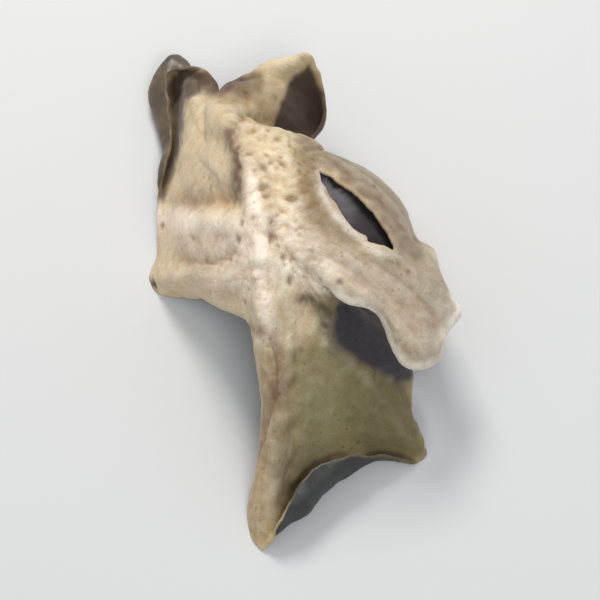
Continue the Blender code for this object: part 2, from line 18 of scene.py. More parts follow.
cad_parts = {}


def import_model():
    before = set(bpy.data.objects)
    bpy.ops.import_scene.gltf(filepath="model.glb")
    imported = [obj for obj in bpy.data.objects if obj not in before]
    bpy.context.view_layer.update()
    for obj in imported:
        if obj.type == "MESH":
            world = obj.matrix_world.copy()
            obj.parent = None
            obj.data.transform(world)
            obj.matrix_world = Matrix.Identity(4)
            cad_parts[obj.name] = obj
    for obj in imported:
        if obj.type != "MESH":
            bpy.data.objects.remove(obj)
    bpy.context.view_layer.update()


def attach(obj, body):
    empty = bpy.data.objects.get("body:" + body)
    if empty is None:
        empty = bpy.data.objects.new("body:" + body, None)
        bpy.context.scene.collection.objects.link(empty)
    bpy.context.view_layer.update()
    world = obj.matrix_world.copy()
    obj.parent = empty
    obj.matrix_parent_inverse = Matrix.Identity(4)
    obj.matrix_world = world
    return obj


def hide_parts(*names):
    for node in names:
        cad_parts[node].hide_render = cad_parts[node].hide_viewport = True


MM = 0.001

# The sheet is laid out as a viewer sees it who looks down at this angle, facing +Y.
VIEW_ELEVATION = math.radians(65)

# Crown of the sheet: across, up the view, and height over the floor.
CROWN = (-8.6, 15.0, 32.8)

# curl: degrees that the lip turns under, or back over the sheet if negative. lip: its length. bend: share
# of the lip over which it turns. path: points (across, up, height) from the crown to the edge.
Spoke = namedtuple("Spoke", "name curl lip bend path")
SPOKES = [
    Spoke("wing tip", 30, 2.4, 0.6, [(1.2, 13.1, 32), (14, 5, 28.5), (25.8, -2.4, 19.6)]),
    Spoke("wing right", 75, 4.5, 0.4, [(2, 13.5, 31.8), (14, 6.7, 28.3), (23.8, 3.6, 19.2)]),
    Spoke("wing shoulder", 85, 8, 0.45, [(3, 14.5, 31.5), (14, 9, 27), (21.3, 8.2, 19)]),
    Spoke("strip right", 40, 6, 0.6, [(3, 17, 31), (17.5, 13.2, 19), (18.3, 5.8, 7.5)]),
    Spoke("strip middle", 60, 6, 0.6, [(2, 19, 30.5), (12.3, 21.2, 18.5), (13.5, 12.6, 4.2)]),
    Spoke("strip left", 50, 6, 0.6, [(0, 20.5, 30.5), (6.2, 25.4, 20.5), (7.8, 15.4, 5.2)]),
    Spoke("panel top right", 65, 4, 0.35, [(-3, 21.5, 30.5), (1.8, 28.4, 23)]),
    Spoke("panel top middle", 70, 3, 0.35, [(-5, 22, 31), (-2.5, 29, 26)]),
    Spoke("panel top left", 50, 2.5, 0.6, [(-7.5, 23, 31), (-7.5, 30.2, 28)]),
    Spoke("notch", 10, 1, 0.6, [(-9.4, 23, 31.2), (-11.2, 30.6, 27.8)]),
    Spoke("horn hidden", 0, 2, 0.6, [
        (-12.2, 24.5, 29.2), (-13.6, 32.2, 24.4), (-9.5, 31.8, 18), (-2.5, 28, 11.5)]),
    Spoke("horn low", -150, 4, 0.6, [
        (-13.4, 25.3, 27.8), (-14.8, 33.4, 22.4), (-7.6, 33.6, 17.6), (1.6, 31.4, 8)]),
    Spoke("horn middle", -120, 4, 0.6, [
        (-14.5, 26, 26.3), (-15.6, 34.6, 20.6), (-6.6, 37.6, 18.6), (1, 36.8, 11)]),
    Spoke("horn tip", -20, 1.2, 0.6, [
        (-15.5, 26.3, 24.8), (-16, 35.6, 18.8), (-7.5, 40.2, 18.5), (-0.6, 43.8, 20.5)]),
    Spoke("horn top", 60, 4, 0.6, [(-16.3, 26.5, 23.4), (-16, 36.3, 17), (-6.8, 42, 17)]),
    Spoke("rim", 85, 6, 0.6, [(-17, 26.5, 22), (-15.6, 35.4, 15.2), (-11.6, 37.4, 14)]),
    Spoke("saddle", 95, 9, 0.6, [(-17.8, 26.3, 20.4), (-15.8, 35, 12.8)]),
    Spoke("saddle left", 40, 3, 0.6, [(-18.3, 25.8, 18.8), (-18, 36.6, 10.5)]),
    Spoke("left horn inner", -80, 3, 0.8, [(-18.8, 25.2, 17.4), (-19.6, 39.8, 7.5)]),
    Spoke("left horn top", -205, 10, 0.9, [(-19.2, 24.4, 16.2), (-22.2, 41.4, 5.6)]),
    Spoke("left horn outer", -228, 14, 0.84, [(-19.6, 23, 15), (-23.4, 37.8, 3)]),
    Spoke("left band", -220, 9, 0.84, [(-19.8, 21, 14.8), (-23.4, 29.8, 3.2)]),
    Spoke("left band foot", -200, 5.5, 0.8, [(-20, 17, 15.2), (-24.6, 22, 3.2)]),
    Spoke("left edge", -40, 3, 0.6, [(-20, 13, 16), (-25.2, 14, 4.6)]),
    Spoke("left edge low", 15, 2.5, 0.6, [(-19, 10, 17), (-25.6, 8, 3.4)]),
    Spoke("left corner", 10, 1.5, 0.6, [(-18, 7, 18), (-27.6, 3, 1.5)]),
    Spoke("left underside", 50, 3, 0.6, [(-16, 6.5, 21), (-20.8, 1.6, 8)]),
    Spoke("waist", 60, 3, 0.6, [(-12, 5, 26), (-15.8, -0.8, 15)]),
    Spoke("scar", 60, 2.5, 0.6, [(-8.9, 5, 29.8), (-9.8, -4.2, 22)]),
    Spoke("pleat high", 60, 4, 0.6, [(-8.4, 4, 30.2), (-8, -4.5, 26), (-8.6, -12.5, 16.5)]),
    Spoke("pleat middle", 60, 4, 0.6, [
        (-7.9, 3.5, 30.2), (-7.2, -5, 26), (-5.8, -15, 20.5), (-7.8, -26, 10)]),
    Spoke("pleat foot", 30, 2, 0.6, [
        (-7.3, 3.2, 30.1), (-6.4, -5, 25.8), (-4.9, -18, 18.5), (-9.6, -37, 4)]),
    Spoke("bottom tip", 5, 0.7, 0.6, [(-6.7, 3, 30), (-5.6, -5, 25.4), (-4, -19, 17.5), (-8.5, -44, 0.9)]),
    Spoke("bottom lip low", -230, 12, 0.95, [
        (-6.1, 3, 29.8), (-4.8, -4.5, 25), (-2.4, -18, 17), (-4.6, -35.2, 4.2)]),
    Spoke("bottom lip", -235, 13, 0.95, [
        (-5.5, 3, 29.5), (-4, -4, 24.6), (-0.6, -16, 17), (0, -30.6, 4.2)]),
    Spoke("bottom lip right", -220, 10, 0.95, [
        (-4.9, 3.2, 29.2), (-3.2, -3.4, 24.4), (1.4, -14.5, 17), (6.8, -27.4, 4.2)]),
    Spoke("bottom lip end", -160, 4.6, 0.9, [
        (-4.4, 3.5, 29), (-2.4, -2.8, 24.2), (3.6, -13, 17), (14, -27, 2.8)]),
    Spoke("bottom corner", 0, 0.7, 0.6, [
        (-3.9, 3.8, 28.8), (-1.6, -2.2, 24), (5.2, -11.2, 17), (20.8, -28.2, 1.2)]),
    Spoke("right edge", 25, 2, 0.6, [
        (-3.4, 4.2, 28.7), (-0.8, -1.5, 23.8), (5.8, -9, 17.5), (17.4, -20.6, 6.5)]),
    Spoke("right edge high", 40, 3, 0.6, [
        (-3, 4.6, 28.6), (0, -0.8, 23.6), (5.8, -6.4, 18), (16.8, -13.5, 10)]),
    Spoke("hidden edge", 30, 2, 0.6, [(-2.6, 5.1, 28.6), (0.8, 0, 23.6), (5.4, -3, 19), (13, -5, 13.5)]),
    Spoke("slit lower", 20, 1.5, 0.6, [(-2.4, 5.8, 28.8), (1.6, 1.4, 23.6), (6.8, 0.2, 18.4)]),
    Spoke("slit", 5, 1, 0.6, [(-2.4, 7.6, 29.6), (2.2, 3.4, 25)]),
    Spoke("wing edge inner", 60, 2.5, 0.6, [(-2.4, 10.4, 32), (2, 6.4, 31.2), (4.4, 2.4, 30)]),
    Spoke("wing edge", 95, 3.5, 0.3, [(-1.8, 11.4, 32.4), (4.6, 6.8, 31), (8.5, 0.2, 28)]),
    Spoke("wing edge outer", 95, 4, 0.3, [(-1.2, 11.9, 32.5), (8, 5.8, 30.5), (13.4, -2.2, 25.5)]),
    Spoke("wing corner", 65, 3.2, 0.4, [(-0.6, 12.3, 32.5), (11, 4.5, 29.5), (18.9, -10.2, 20.5)]),
    Spoke("wing end", 40, 2.4, 0.5, [(0.1, 12.5, 32.3), (12.6, 4.1, 29.1), (23, -9.2, 18.8)]),
    Spoke("wing notch", 35, 1.2, 0.5, [(0.6, 12.8, 32.2), (13.4, 4.4, 28.9), (23.6, -5.4, 19.6)]),
]

# Stations along a spoke, the steps in which a lip bends from one to the next, and the space that is added
# between the ends of neighbouring spokes.
BODY_STATION_GAP = 4.0
LEAST_BODY_STATIONS = 3
LIP_STATION_GAP = 1.7
MOST_LIP_STATIONS = 6
LIP_STEPS = 12
EDGE_GAP = 1.5
CURVE_STEPS = 200

# A place in the view is looked up among the sheet's points within SIGHT_REACH of it, or within SIGHT_SPARE
# more than the nearest one. The point that is nearest to the viewer wins, after it loses SIGHT_COST for
# each millimetre past SIGHT_FREE.
SIGHT_REACH = 2.0
SIGHT_SPARE = 0.3
SIGHT_FREE = 0.5
SIGHT_COST = 6

# A tear through the right lobe, as the viewer sees it (across, up).
TEAR = [
    (2, 23.2), (2.6, 18.6), (4.9, 14.6), (8.2, 11.2), (12, 8.4), (15.6, 7.4), (15.6, 9), (12.6, 13.4),
    (8, 17.8), (4.2, 21.8),
]

# How often its corners are cut to round it, and how near another point may be to it, as a share of the
# gap between points.
TEAR_CUTS = 3
TEAR_CLEARANCE = 0.62
LEAST_TEAR_POINTS = 12

# Ridges (height over zero) and creases (under zero), as the viewer sees them. width: how far they reach.
Fold = namedtuple("Fold", "name height width sharp line")
FOLDS = [
    Fold("crest", 1.5, 2, True, [(-12.6, 31), (-9.3, 20), (-8.5, 12), (-7.7, 3.5), (-7.8, -3.5)]),
    Fold("crease beside crest", -1.3, 1.1, True, [(-13.5, 29.5), (-12, 25), (-11, 19)]),
    Fold("left panel upper crease", -1.3, 1.9, False, [
        (-23.5, 19), (-20.5, 16.5), (-15, 17.5), (-11, 16.5)]),
    Fold("left panel ridge", 1.2, 1.9, False, [(-24.5, 12.5), (-17, 13.3), (-10, 11.7)]),
    Fold("left panel lower crease", -1.2, 1.7, False, [(-23.5, 7), (-18.5, 6), (-12, 7.5)]),
    Fold("left panel foot ridge", 0.5, 1.2, True, [(-25, 4), (-17, -0.5), (-10, -3.4)]),
    Fold("shoulder ridge", 0.8, 1.8, True, [(-12.6, 31), (-17, 34.5), (-21, 36.5)]),
    Fold("shoulder crease", -0.8, 2, False, [(-21, 30), (-17, 28.5), (-14, 25)]),
    Fold("wing trough", -1.3, 3.2, False, [(-4.5, 14), (4.5, 7), (14, 1.5), (21, -6)]),
    Fold("wing lower ridge", 0.8, 1.1, True, [(-4, 9), (3, 3.8), (9, 1.2), (15, -3), (20, -9)]),
    Fold("wing upper crease", -0.7, 1.2, True, [(9, 8), (15, 4.4), (20, 0), (24, -5)]),
    Fold("tear rim", 1, 1.5, False, [(1.2, 22), (2, 17.5), (4.4, 13.6), (8, 10.2), (12, 7.4), (17, 6.4)]),
    Fold("strip ridge", 0.8, 1.6, False, [(2.5, 27), (8, 22.6), (13.5, 17.5), (18, 10.5)]),
    Fold("pleat crease", -1.6, 1, True, [(-6.9, -4.7), (-4.6, -12.5), (-6.6, -21), (-8.2, -27)]),
    Fold("pleat ridge", 0.7, 1.2, True, [(-8.8, -7), (-8.2, -14), (-8.4, -26), (-9.6, -36)]),
    Fold("sheet ridge", 0.9, 1.5, True, [(-2.4, 0), (-3.2, -10), (-4.6, -22), (-6.6, -33)]),
    Fold("lower sheet crease", -0.9, 3.5, False, [(0, -6), (5, -16), (8, -26)]),
    Fold("lower sheet ridge", 0.7, 2.5, True, [(2.5, -7), (11, -15), (18, -25)]),
]

# A fold's points on the sheet, the rounds that smooth them, how quickly it rises from its ends and how
# high it begins, and the dip beside a sharp fold: its depth and width as multiples of the fold's.
FOLD_POINTS = 16
FOLD_ROUNDS = 4
FOLD_TAPER = (6, 0.25)
DIP = 0.25
DIP_WIDTH = 2.2

# Chance folds that crumple the sheet all over. They run outwards, give or take CRUMPLE_TURN in radians.
CRUMPLES = 90
CRUMPLE_SEED = 11
CRUMPLE_HEIGHT = 0.55
CRUMPLE_HEIGHT_SHARES = (0.4, 1.0)
CRUMPLE_TURN = 0.5
CRUMPLE_BEND = 0.12
CRUMPLE_LENGTHS = (4, 10)
CRUMPLE_WIDTHS = (1.2, 3.0)
FLAT_RADIUS = 42.0

# The solid's mesh and thickness.
THICKNESS = 1.2
RIM_THICKNESS = 0.65
LEAST_THICKNESS = 0.45
THIN_MARGIN = 0.25
DISC_RINGS = 28
LOOKUP_RINGS = 70
PART_SIZE = 4000
FAIRING = 2e-4
FOOT_CUT = 0.9
EVEN_ROUNDS = 4
EVEN_STEPS = 3

# Bends that are too tight for the sheet are thinned by a share in each round, and so are places where its
# skins cross, which are smoothed as well.
SPARE_ROUNDS = 14
SPARE_REACH = 1.3
SPARE_LEAST = 0.25
SPARE_THINNING = 0.85
UNTANGLE_ROUNDS = 24
UNTANGLE_REACH = 2
UNTANGLE_SMOOTHS = 4
UNTANGLE_THINNING = 0.93

# The narrowest folds of the solid, and of the finely divided sheet.
COARSE_FOLD = 2.2
FINE_FOLD = 0.7

# How often each triangle is divided in four, the steps that round the rim, and the steps from point to
# point in which the distance from the rim is found.
DIVISIONS = 2
RIM_STEPS = 4
RIM_GAP_ROUNDS = 60

# Fine wrinkles run out from the scar. They keep their gap by a choice between finer and finer rays.
WRINKLE_START = (-7.4, -3.0)
WRINKLE_GAP = 2.3
WRINKLE_GAP_SPREAD = 0.33
WRINKLE_LENGTH = 6 * WRINKLE_GAP
WRINKLE_HEIGHT = 0.08
WRINKLE_MARGIN = 1.5
WRINKLE_SEED = 40
INNER_WRINKLES = 0.35
RAY_CYCLES = [3.0 * 1.5 ** k for k in range(9)]
RAY_SCALE = 22.0
RAY_STRETCH = 0.14

# Noise that shapes and colours the skin: strength, size of its lumps, seed.
FIELDS = {
    "large crumples": (0.24, 8.0, 3), "small crumples": (0.13, 3.6, 4), "crumpled parts": (0.9, 13.0, 5),
    "long waves": (0.55, 6.0, 7), "short waves": (0.22, 2.6, 8),
    "fine fray": (0.34, 1.7, 11), "wide fray": (0.4, 4.5, 12),
    "patch edges": (0.7, 2.5, 21), "stroke edges": (0.35, 2.0, 22), "calm parts": (0.5, 9.0, 23),
    "lumps": (1.0, 1.5, 31), "small lumps": (0.5, 0.9, 32), "pit shapes": (0.6, 1.3, 33),
    "wide drift": (0.75, 15.0, 51), "drift": (0.3, 5.0, 52), "blush": (0.9, 9.0, 53),
    "inner drift": (0.8, 8.0, 54), "edge width": (0.5, 3.0, 55),
    "mottle": (1.0, 2.2, 56), "small mottle": (0.5, 1.1, 57),
}

# Numbers that mix the corner of a cell of noise with the seed, and the noise's shift and gain.
MIX_CORNER = (73856093, 19349663, 83492791)
MIX_SEED = (40503, 12345)
MIX_ROUNDS = ((13, 1274126177), (15, 2246822519))
NOISE_SHIFT = 512.5
NOISE_GAIN = 1.7

# How sharply noise falls away from a ridge, and how crumpled the sheet is: as a rule, least and most.
RIDGE = 3.2
CRUMPLED = 0.55
CRUMPLED_RANGE = (0.1, 1.2)

# How far out over the sheet the noise of its small crumples is read, which keeps layers apart.
SMALL_CRUMPLES_OUT = 0.6

# The margin: how far in its waves reach, and how many points the frayed edge draws along.
WAVE_REACH = 3.0
FRAY_ROUNDS = 5

# A steep turn near the left edge that is eased: across, up, radius.
EASED = (-24.0, 13.5, 4.5)
EASE_ROUNDS = 40

# The lumpy skin to the right of the crest, the height of lumps everywhere and what it gains there, and how
# far the lumpy skin fades out.
LUMPY = [(-10, 30), (-3, 28), (1, 22), (0, 12), (2, 6), (-2, 3), (-6, 8), (-8.5, 14)]
LUMPS = (0.05, 0.15)
LUMPY_SOFT = 2.5

# Dark pits: across, up, radius. More are strewn by chance. PIT_CHANCES: how likely one is anywhere, and
# what is added in the lumpy skin.
NAMED_PITS = [
    (-7.5, 22.6, 0.9), (-7.7, 19.2, 0.8), (-2.7, 17.1, 0.8), (-11.2, 10.2, 0.6), (-10.8, 12.9, 0.5),
    (-6.2, 10.3, 0.7), (-4.2, 6.8, 0.6), (-3.1, 2.9, 0.7), (-25.7, 12.9, 0.5), (-27, 2.3, 0.7),
]
NAMED_PIT_DEPTH = 0.5
PITS = 90
PIT_SEED = 5
PIT_SOFT = 3.0
PIT_CHANCES = (0.25, 3)
PIT_RADII = (0.3, 0.6)
PIT_DEPTHS = (0.12, 0.3)

# A point is seen if it is this near to the nearest one in its cell of the view. A place is looked up as
# if the points that are seen were nearer by SHOWN_GAIN.
SHOWN_CELL = 0.8
SHOWN_DEPTH = 4.0
SHOWN_ROUNDS = 4
SHOWN_GAIN = 4

# How even the texture is where no patch says otherwise, how strongly a patch sets it, and how much less
# crumpled, wrinkled and mottled it is where it is even.
CALM = 0.25
CALM_SET = 0.9
CALM_CRUMPLES = 0.65
CALM_WRINKLES = 0.8
CALM_COLOURS = 0.6

# Colours of the outer skin, as red, green and blue from 0 to 255.
PALE = (208, 193, 158)
TAN = (176, 154, 115)
BLUSH = (186, 158, 128)
# CREST_HIGHLIGHT: painted highlight on ridges.
CREST_HIGHLIGHT = (236, 229, 210)
# CREASE_SHADE: painted shade in creases, tinted warm brown.
CREASE_SHADE = (150, 122, 98)
PIT = (92, 74, 66)
MOTTLE = (206, 192, 172)
MARGIN = (206, 184, 142)
MARGIN_WIDTH = 0.8
MARGIN_STRENGTH = 0.35
PIT_STRENGTH = 0.48

MOTTLE_STRENGTH = 0.5
CREASE_STRENGTH = 0.5
CREASE_LIGHT = 0.4
CREST_STRENGTH = 0.25
MOST_BLUSH = 0.45

# How tan, and how brown inside, the skin is as a rule, and the noise that blush and mottle begin above.
USUAL_TAN = 0.5
USUAL_BROWN = 0.4
NOISE_FLOOR = 0.1

# How hollow a full crease is, how deep a full pit, and how light skin must be to take the full pale tints.
FULL_CREASE = 0.03
FULL_PIT = 0.3
FULL_PALE = 0.3
HOLLOW_ROUNDS = 2

# Areas of another colour, as the viewer sees them. soft: how far an area fades out. calm: how even its
# texture is, from 0 to 1. layer: all that is seen, only the wing, only what is below it, or only the flap.
Patch = namedtuple("Patch", "name colour strength soft calm outline layer", defaults=["seen"])
PATCHES = [
    # Partly the left panel's own pale tone, partly painted light that offsets the shade of its folds.
    Patch("left panel", (214, 192, 157), 0.75, 3, 0.6, [
        (-19, 36), (-14, 34), (-12, 22), (-10.5, 8), (-10, -5), (-22, -4), (-33, 0), (-31, 17), (-24, 26)]),
    Patch("panel shade", (156, 134, 100), 0.5, 1.8, 0.3, [
        (-24, 18.7), (-19.7, 20.2), (-15.6, 19.4), (-14.6, 16.3), (-17.2, 15), (-21.3, 15), (-23.6, 16.3)]),
    # Painted light: the foot of the left panel lightened where little light reaches it.
    Patch("panel foot", (216, 197, 168), 0.7, 2.2, 0.4, [
        (-27, 13), (-19, 12.5), (-11, 11.4), (-9.7, -1.1), (-17, 0.5), (-24.8, 2.4)]),
    Patch("crown", (222, 205, 176), 0.8, 1.8, 0.15, [
        (-10.4, 28.1), (-3.6, 27.8), (-2.2, 21.6), (-1.8, 15), (-0.6, 10.8), (3, 6.2), (4.6, 1.4),
        (1.3, 0.4), (-6.9, 2.6), (-10.4, 4), (-10.4, 23.2)]),
    Patch("tear side", (130, 111, 84), 0.82, 1.6, 0.2, [
        (-2.4, 29.4), (3, 28.1), (6.2, 24.8), (3, 21.6), (5.4, 15), (9.5, 10.1), (7.9, 7.2), (3, 8.8),
        (-0.6, 13.5), (-1.6, 21.6)]),
    Patch("saddle shade", (112, 92, 66), 0.85, 1.4, 0.4, [
        (-20.7, 41.3), (-18.5, 36.6), (-13.1, 35.2), (-9, 36.2), (-6.4, 38.4), (-9.3, 40.7),
        (-14.2, 39.3)]),
    Patch("wing", (190, 174, 154), 0.85, 2, 0.4, [
        (-2, 15), (4, 11.5), (9, 8.5), (16, 6), (24.3, 7.6), (29, -2.7), (25, -12.5), (20, -13.5),
        (16, -5.5), (4.6, 1), (-2, 5.2)], "wing"),
    Patch("wing tip", (168, 158, 144), 0.6, 2.2, 0.5, [
        (19.4, 3.5), (26.5, 2.5), (27.5, -4.7), (22.6, -11.2), (17.7, -12.9), (17.5, -9.6),
        (20.2, -4.7)], "wing"),
    # Painted shade on the wing's shoulder and the strip beside it.
    Patch("wing shoulder", (146, 132, 112), 0.55, 2.5, 0.4, [
        (11, 8), (14, 8.5), (24, 9), (28, 4), (26, 0), (20, 1), (13.5, 4.5)]),
    # Painted highlight on the crown.
    Patch("crown highlight", (252, 240, 222), 0.45, 2.5, 0.2, [
        (-16.7, 13), (-2, 15.5), (-0.3, 10), (7.9, 4.5), (2, 2.5), (-7.5, 0), (-15, 2.5)]),
    Patch("far strip", (128, 113, 96), 0.85, 1.5, 0.4, [
        (2.1, 28.9), (9.5, 25.7), (16.1, 19.9), (20.2, 13.4), (23.5, 9), (18.5, 6), (14.4, 8.4), (10.3, 15),
        (4.6, 21.6)]),
    # The lower sheet's olive tone, darkened further as painted shade from the wing above it.
    Patch("lower sheet", (139, 130, 93), 0.95, 3, 0.75, [
        (-4.2, -9), (5.4, -6), (14.4, -10), (19, -14), (23, -31), (9.5, -30), (1.3, -33), (-5.4, -41),
        (-3.2, -25)], "below"),
    Patch("crest foot", (230, 212, 184), 0.5, 1.5, 0.3, [
        (-7.2, 1.5), (-3, 1.5), (-0.9, -0.9), (0.4, -4.5), (-1.5, -8), (-5, -8.5), (-6.6, -5)], "below"),
    Patch("pleat", (166, 134, 92), 0.5, 1.5, 0.4, [
        (-12.5, -11), (-5.8, -11), (-4.8, -20), (-6.2, -30), (-8.4, -37), (-14, -38), (-13, -25)], "below"),
    Patch("pleat side", (122, 106, 70), 0.8, 1.3, 0.4, [
        (-5.9, -13.2), (-2.8, -11.2), (-2.8, -29.3), (-4.4, -34.2), (-6.3, -29.3), (-5.5, -19.4)], "below"),
    Patch("sheet corner", (104, 97, 62), 0.8, 4, 0.8, [(7, -14), (20, -13), (23, -31), (10, -29)], "below"),
    Patch("lower lip", (64, 62, 46), 0.85, 0.7, 0.5, [
        (-3.6, -32.7), (1.3, -28.4), (7.9, -26.6), (14.4, -27), (20.2, -29.3), (24, -32), (7.9, -32),
        (1.3, -33), (-2.5, -38)], "below"),
    Patch("under the wing shade", (106, 98, 82), 0.85, 1.4, 0.5, [
        (2.4, -2.4), (5.4, 0.4), (9.5, 1.4), (16.3, -3.5), (20.5, -10.9), (16.1, -16.4), (11.2, -13.4),
        (5.4, -10.8), (2.2, -7.6)], "below"),
    # Painted deep shade beneath the wing's overhang, deepened to the near-black of the sheet's underside.
    Patch("under the wing", (62, 59, 64), 1, 0.7, 0.6, [
        (4.9, -1), (9, -0.6), (16, -2.5), (20.5, -9.5), (20, -13), (18.2, -14.6), (15.4, -14.6),
        (11.4, -12.4), (6.6, -9.4), (5, -7.6), (4.2, -4.6)], "below"),
    Patch("left horn", (92, 78, 62), 0.97, 0.7, 0.3, [
        (-30, 42.1), (-26, 46), (-19.5, 45), (-18.6, 40.4), (-19, 37.2), (-21.4, 35.9), (-22.1, 29.8),
        (-23.7, 23.2), (-25.7, 17), (-28, 17.3), (-29, 36.3)]),
    # Painted deep shade in the hollow right of the flap, deepened to the near-black of the sheet's underside.
    Patch("flap hollow", (76, 63, 52), 1, 0.5, 0.5, [
        (-6.4, 31.2), (-5.2, 35.6), (-2.3, 40.6), (0.5, 42.2), (3.6, 37.4), (4.3, 29.5), (2.5, 25),
        (-6.5, 25), (-7, 29.4)], "flap"),
]

# Colours and areas of the inner skin.
DARK = (44, 40, 42)
BROWN = (66, 55, 48)
INNER_PATCHES = [
    Patch("left roll", (104, 88, 68), 0.85, 1.5, 0.3, [
        (-31, 44), (-19, 44), (-18.5, 36), (-22, 30), (-23.5, 17), (-29, 17), (-30, 30)]),
    Patch("bottom roll", (62, 66, 62), 0.7, 1.5, 0.3, [
        (-9, -45), (-6, -36), (2, -29.5), (10, -26), (18, -27), (10, -32), (0, -42)]),
    # Painted light on the inner skin seen through the tear, where little light reaches.
    Patch("behind the tear", (182, 168, 172), 0.95, 1, 0.3, [
        (1, 24), (4, 24), (14, 14), (18, 6), (12, 6), (4, 14)]),
    # Painted highlight on the inner skin at the tear's upper end.
    Patch("behind the tear's end", (236, 230, 234), 0.9, 1.2, 0.3, [
        (0, 25), (5, 25), (9.5, 18), (8, 12.5), (2, 15)]),
]

# Lines of another colour.
Stroke = namedtuple("Stroke", "name colour strength width line layer", defaults=["seen"])
STROKES = [
    # Painted shade under the saddle's rim.
    Stroke("saddle rim shade", (80, 60, 48), 0.95, 1.6, [
        (-20.2, 41.2), (-17, 39.6), (-15.6, 37.3), (-13.5, 38.3), (-10, 39.9)]),
    # Painted shade below the flap.
    Stroke("flap foot shade", (150, 124, 92), 0.5, 1.6, [(-15, 35), (-11, 34.5), (-8.2, 33)]),
    # Painted shade in the crease beside the crest, tinted reddish brown.
    Stroke("crease beside crest", (88, 62, 44), 0.95, 1.1, [(-13.6, 30.6), (-12.2, 24.4), (-11.2, 17.6)]),
    # Painted shade in the pleat's crease, tinted reddish brown.
    Stroke("pleat crease", (132, 104, 78), 0.8, 1.2, [
        (-6.9, -4.7), (-5.2, -9.6), (-4.8, -13.7), (-6.1, -18.6), (-7.3, -23.5), (-8.1, -29.3)]),
    # Painted highlight along the left panel's ridge.
    Stroke("panel ridge highlight", (238, 222, 206), 0.75, 2.4, [
        (-31, 16.4), (-25.5, 14.6), (-17.4, 12.2), (-10.4, 9.4)]),
    # Painted shade in the left panel's upper and lower creases.
    Stroke("left panel upper crease", (156, 136, 108), 0.45, 1.1, [(-24, 18), (-20.5, 16.8), (-16, 17)]),
    Stroke("left panel lower crease", (172, 152, 124), 0.5, 1.3, [(-24, 7.2), (-18.5, 6), (-12, 7.2)]),
    Stroke("beside the crest", (168, 144, 114), 0.45, 0.9, [
        (-6.9, 20), (-6.4, 14), (-5.6, 8), (-4.6, 3.5)]),
    # Painted highlight along the crest.
    Stroke("crest", (246, 231, 214), 0.85, 1.1, [
        (-9.8, 22), (-9.1, 18), (-8.5, 12), (-7.7, 3.5), (-7, -3), (-6.9, -8)]),
    Stroke("crest top", (180, 156, 128), 0.4, 1.2, [(-12.4, 30.6), (-11, 26), (-9.8, 22)]),
    Stroke("scar", (150, 112, 88), 0.6, 0.8, [(-12.5, -3.4), (-9.8, -4.9), (-6.6, -6.2)]),
    Stroke("tear rim", (216, 208, 200), 0.75, 0.5, [
        (2.1, 22.4), (2.9, 17.5), (5.4, 13.8), (8.7, 10.5), (12, 8), (16, 6.8)]),
    # Painted highlight along the wing's lower edge.
    Stroke("wing edge", (255, 250, 238), 1, 0.9, [
        (-3, 7.6), (1.8, 3.3), (4.9, 0.9), (7.5, -0.4), (11, -1.8), (13.2, -3.9), (14.4, -6.4),
        (15.5, -9.4), (17.9, -11.9), (21.3, -12.1)], "wing"),
    # Painted highlight along the foot of the wing's lower edge.
    Stroke("wing foot", (255, 248, 232), 0.85, 1, [
        (-6.5, 6.8), (-4.8, 6.2), (-2.8, 4.9), (0.1, 3.6), (2.5, 2.1), (4.6, 0.9)]),
    Stroke("wing foot shade", (98, 86, 64), 0.85, 1, [
        (-1.6, 0.4), (0.6, -0.6), (2.6, -1.8), (4.6, -3)], "below"),
    # Painted highlight along the wing's tip.
    Stroke("wing tip highlight", (252, 248, 238), 0.95, 0.8, [
        (25, 1.5), (26.8, -2.2), (24.9, -4.8), (24, -8.5)], "wing"),
    Stroke("corner", (88, 70, 58), 0.9, 0.9, [(-29.6, 2.5), (-28.4, 2.5), (-27.2, 2.7)]),
]

# A stroke's points, how quickly it grows stronger from its ends, and how strong it begins.
STROKE_POINTS = 24
STROKE_TAPER = (8, 0.3)

# The bright edge of the wing: its paler margin with a painted highlight on it, and how far in from the rim it
# reaches.
WING_EDGE = Patch("wing edge", (236, 229, 212), 0.6, 1.5, 0.4, [
    (-2, 9), (-3, -1), (8, -5), (14, -16), (30, -16), (30, 4), (22, 4), (14, 0)], "wing")
WING_EDGE_WIDTH = 2.3

# The wing lies higher than a - b * across, for a and b. The flap is further away than what hides it.
WING_OVER = (28.5, 0.7)
FLAP_NEAREST = 6.0

# Floor, lights and camera, in metres.
FLOOR_SIZE = 3.0
FLOOR_LEVEL = -0.00002
FLOOR_COLOUR = (204, 204, 203)
TARGET = (0.0, -0.0058, 0.014)
FRAME_HEIGHT = 0.106
LENS = 220.0
SKY = (0.92, 0.95, 1.0, 1)
SKY_STRENGTH = 0.55
Lamp = namedtuple("Lamp", "name place size power colour")
LAMPS = [
    Lamp("key", (-0.06, 0.30, 0.34), 0.14, 1.5, (1.0, 0.98, 0.94)),
    Lamp("fill", (0.08, -0.26, 0.48), 0.2, 0.95, (0.96, 0.98, 1.0)),
]


def from_view(across, up, height):
    """The point that a viewer at VIEW_ELEVATION sees at (across, up), at that height over the floor."""
    away = (up - height * math.cos(VIEW_ELEVATION)) / math.sin(VIEW_ELEVATION)
    return np.array([across, away, height])


def to_view(points):
    """Where the viewer sees points, and how near they are."""
    up = points[:, 1] * math.sin(VIEW_ELEVATION) + points[:, 2] * math.cos(VIEW_ELEVATION)
    near = points[:, 2] * math.sin(VIEW_ELEVATION) - points[:, 1] * math.cos(VIEW_ELEVATION)
    return np.stack([points[:, 0], up], axis=1), near


def unit(vector):
    return vector / np.linalg.norm(vector)


def unit_rows(vectors):
    return vectors / np.maximum(np.linalg.norm(vectors, axis=1, keepdims=True), 1e-12)


def gap_from(view, across, up):
    """Distance of points, as the viewer sees them, from the place (across, up)."""
    return np.hypot(view[:, 0] - across, view[:, 1] - up)


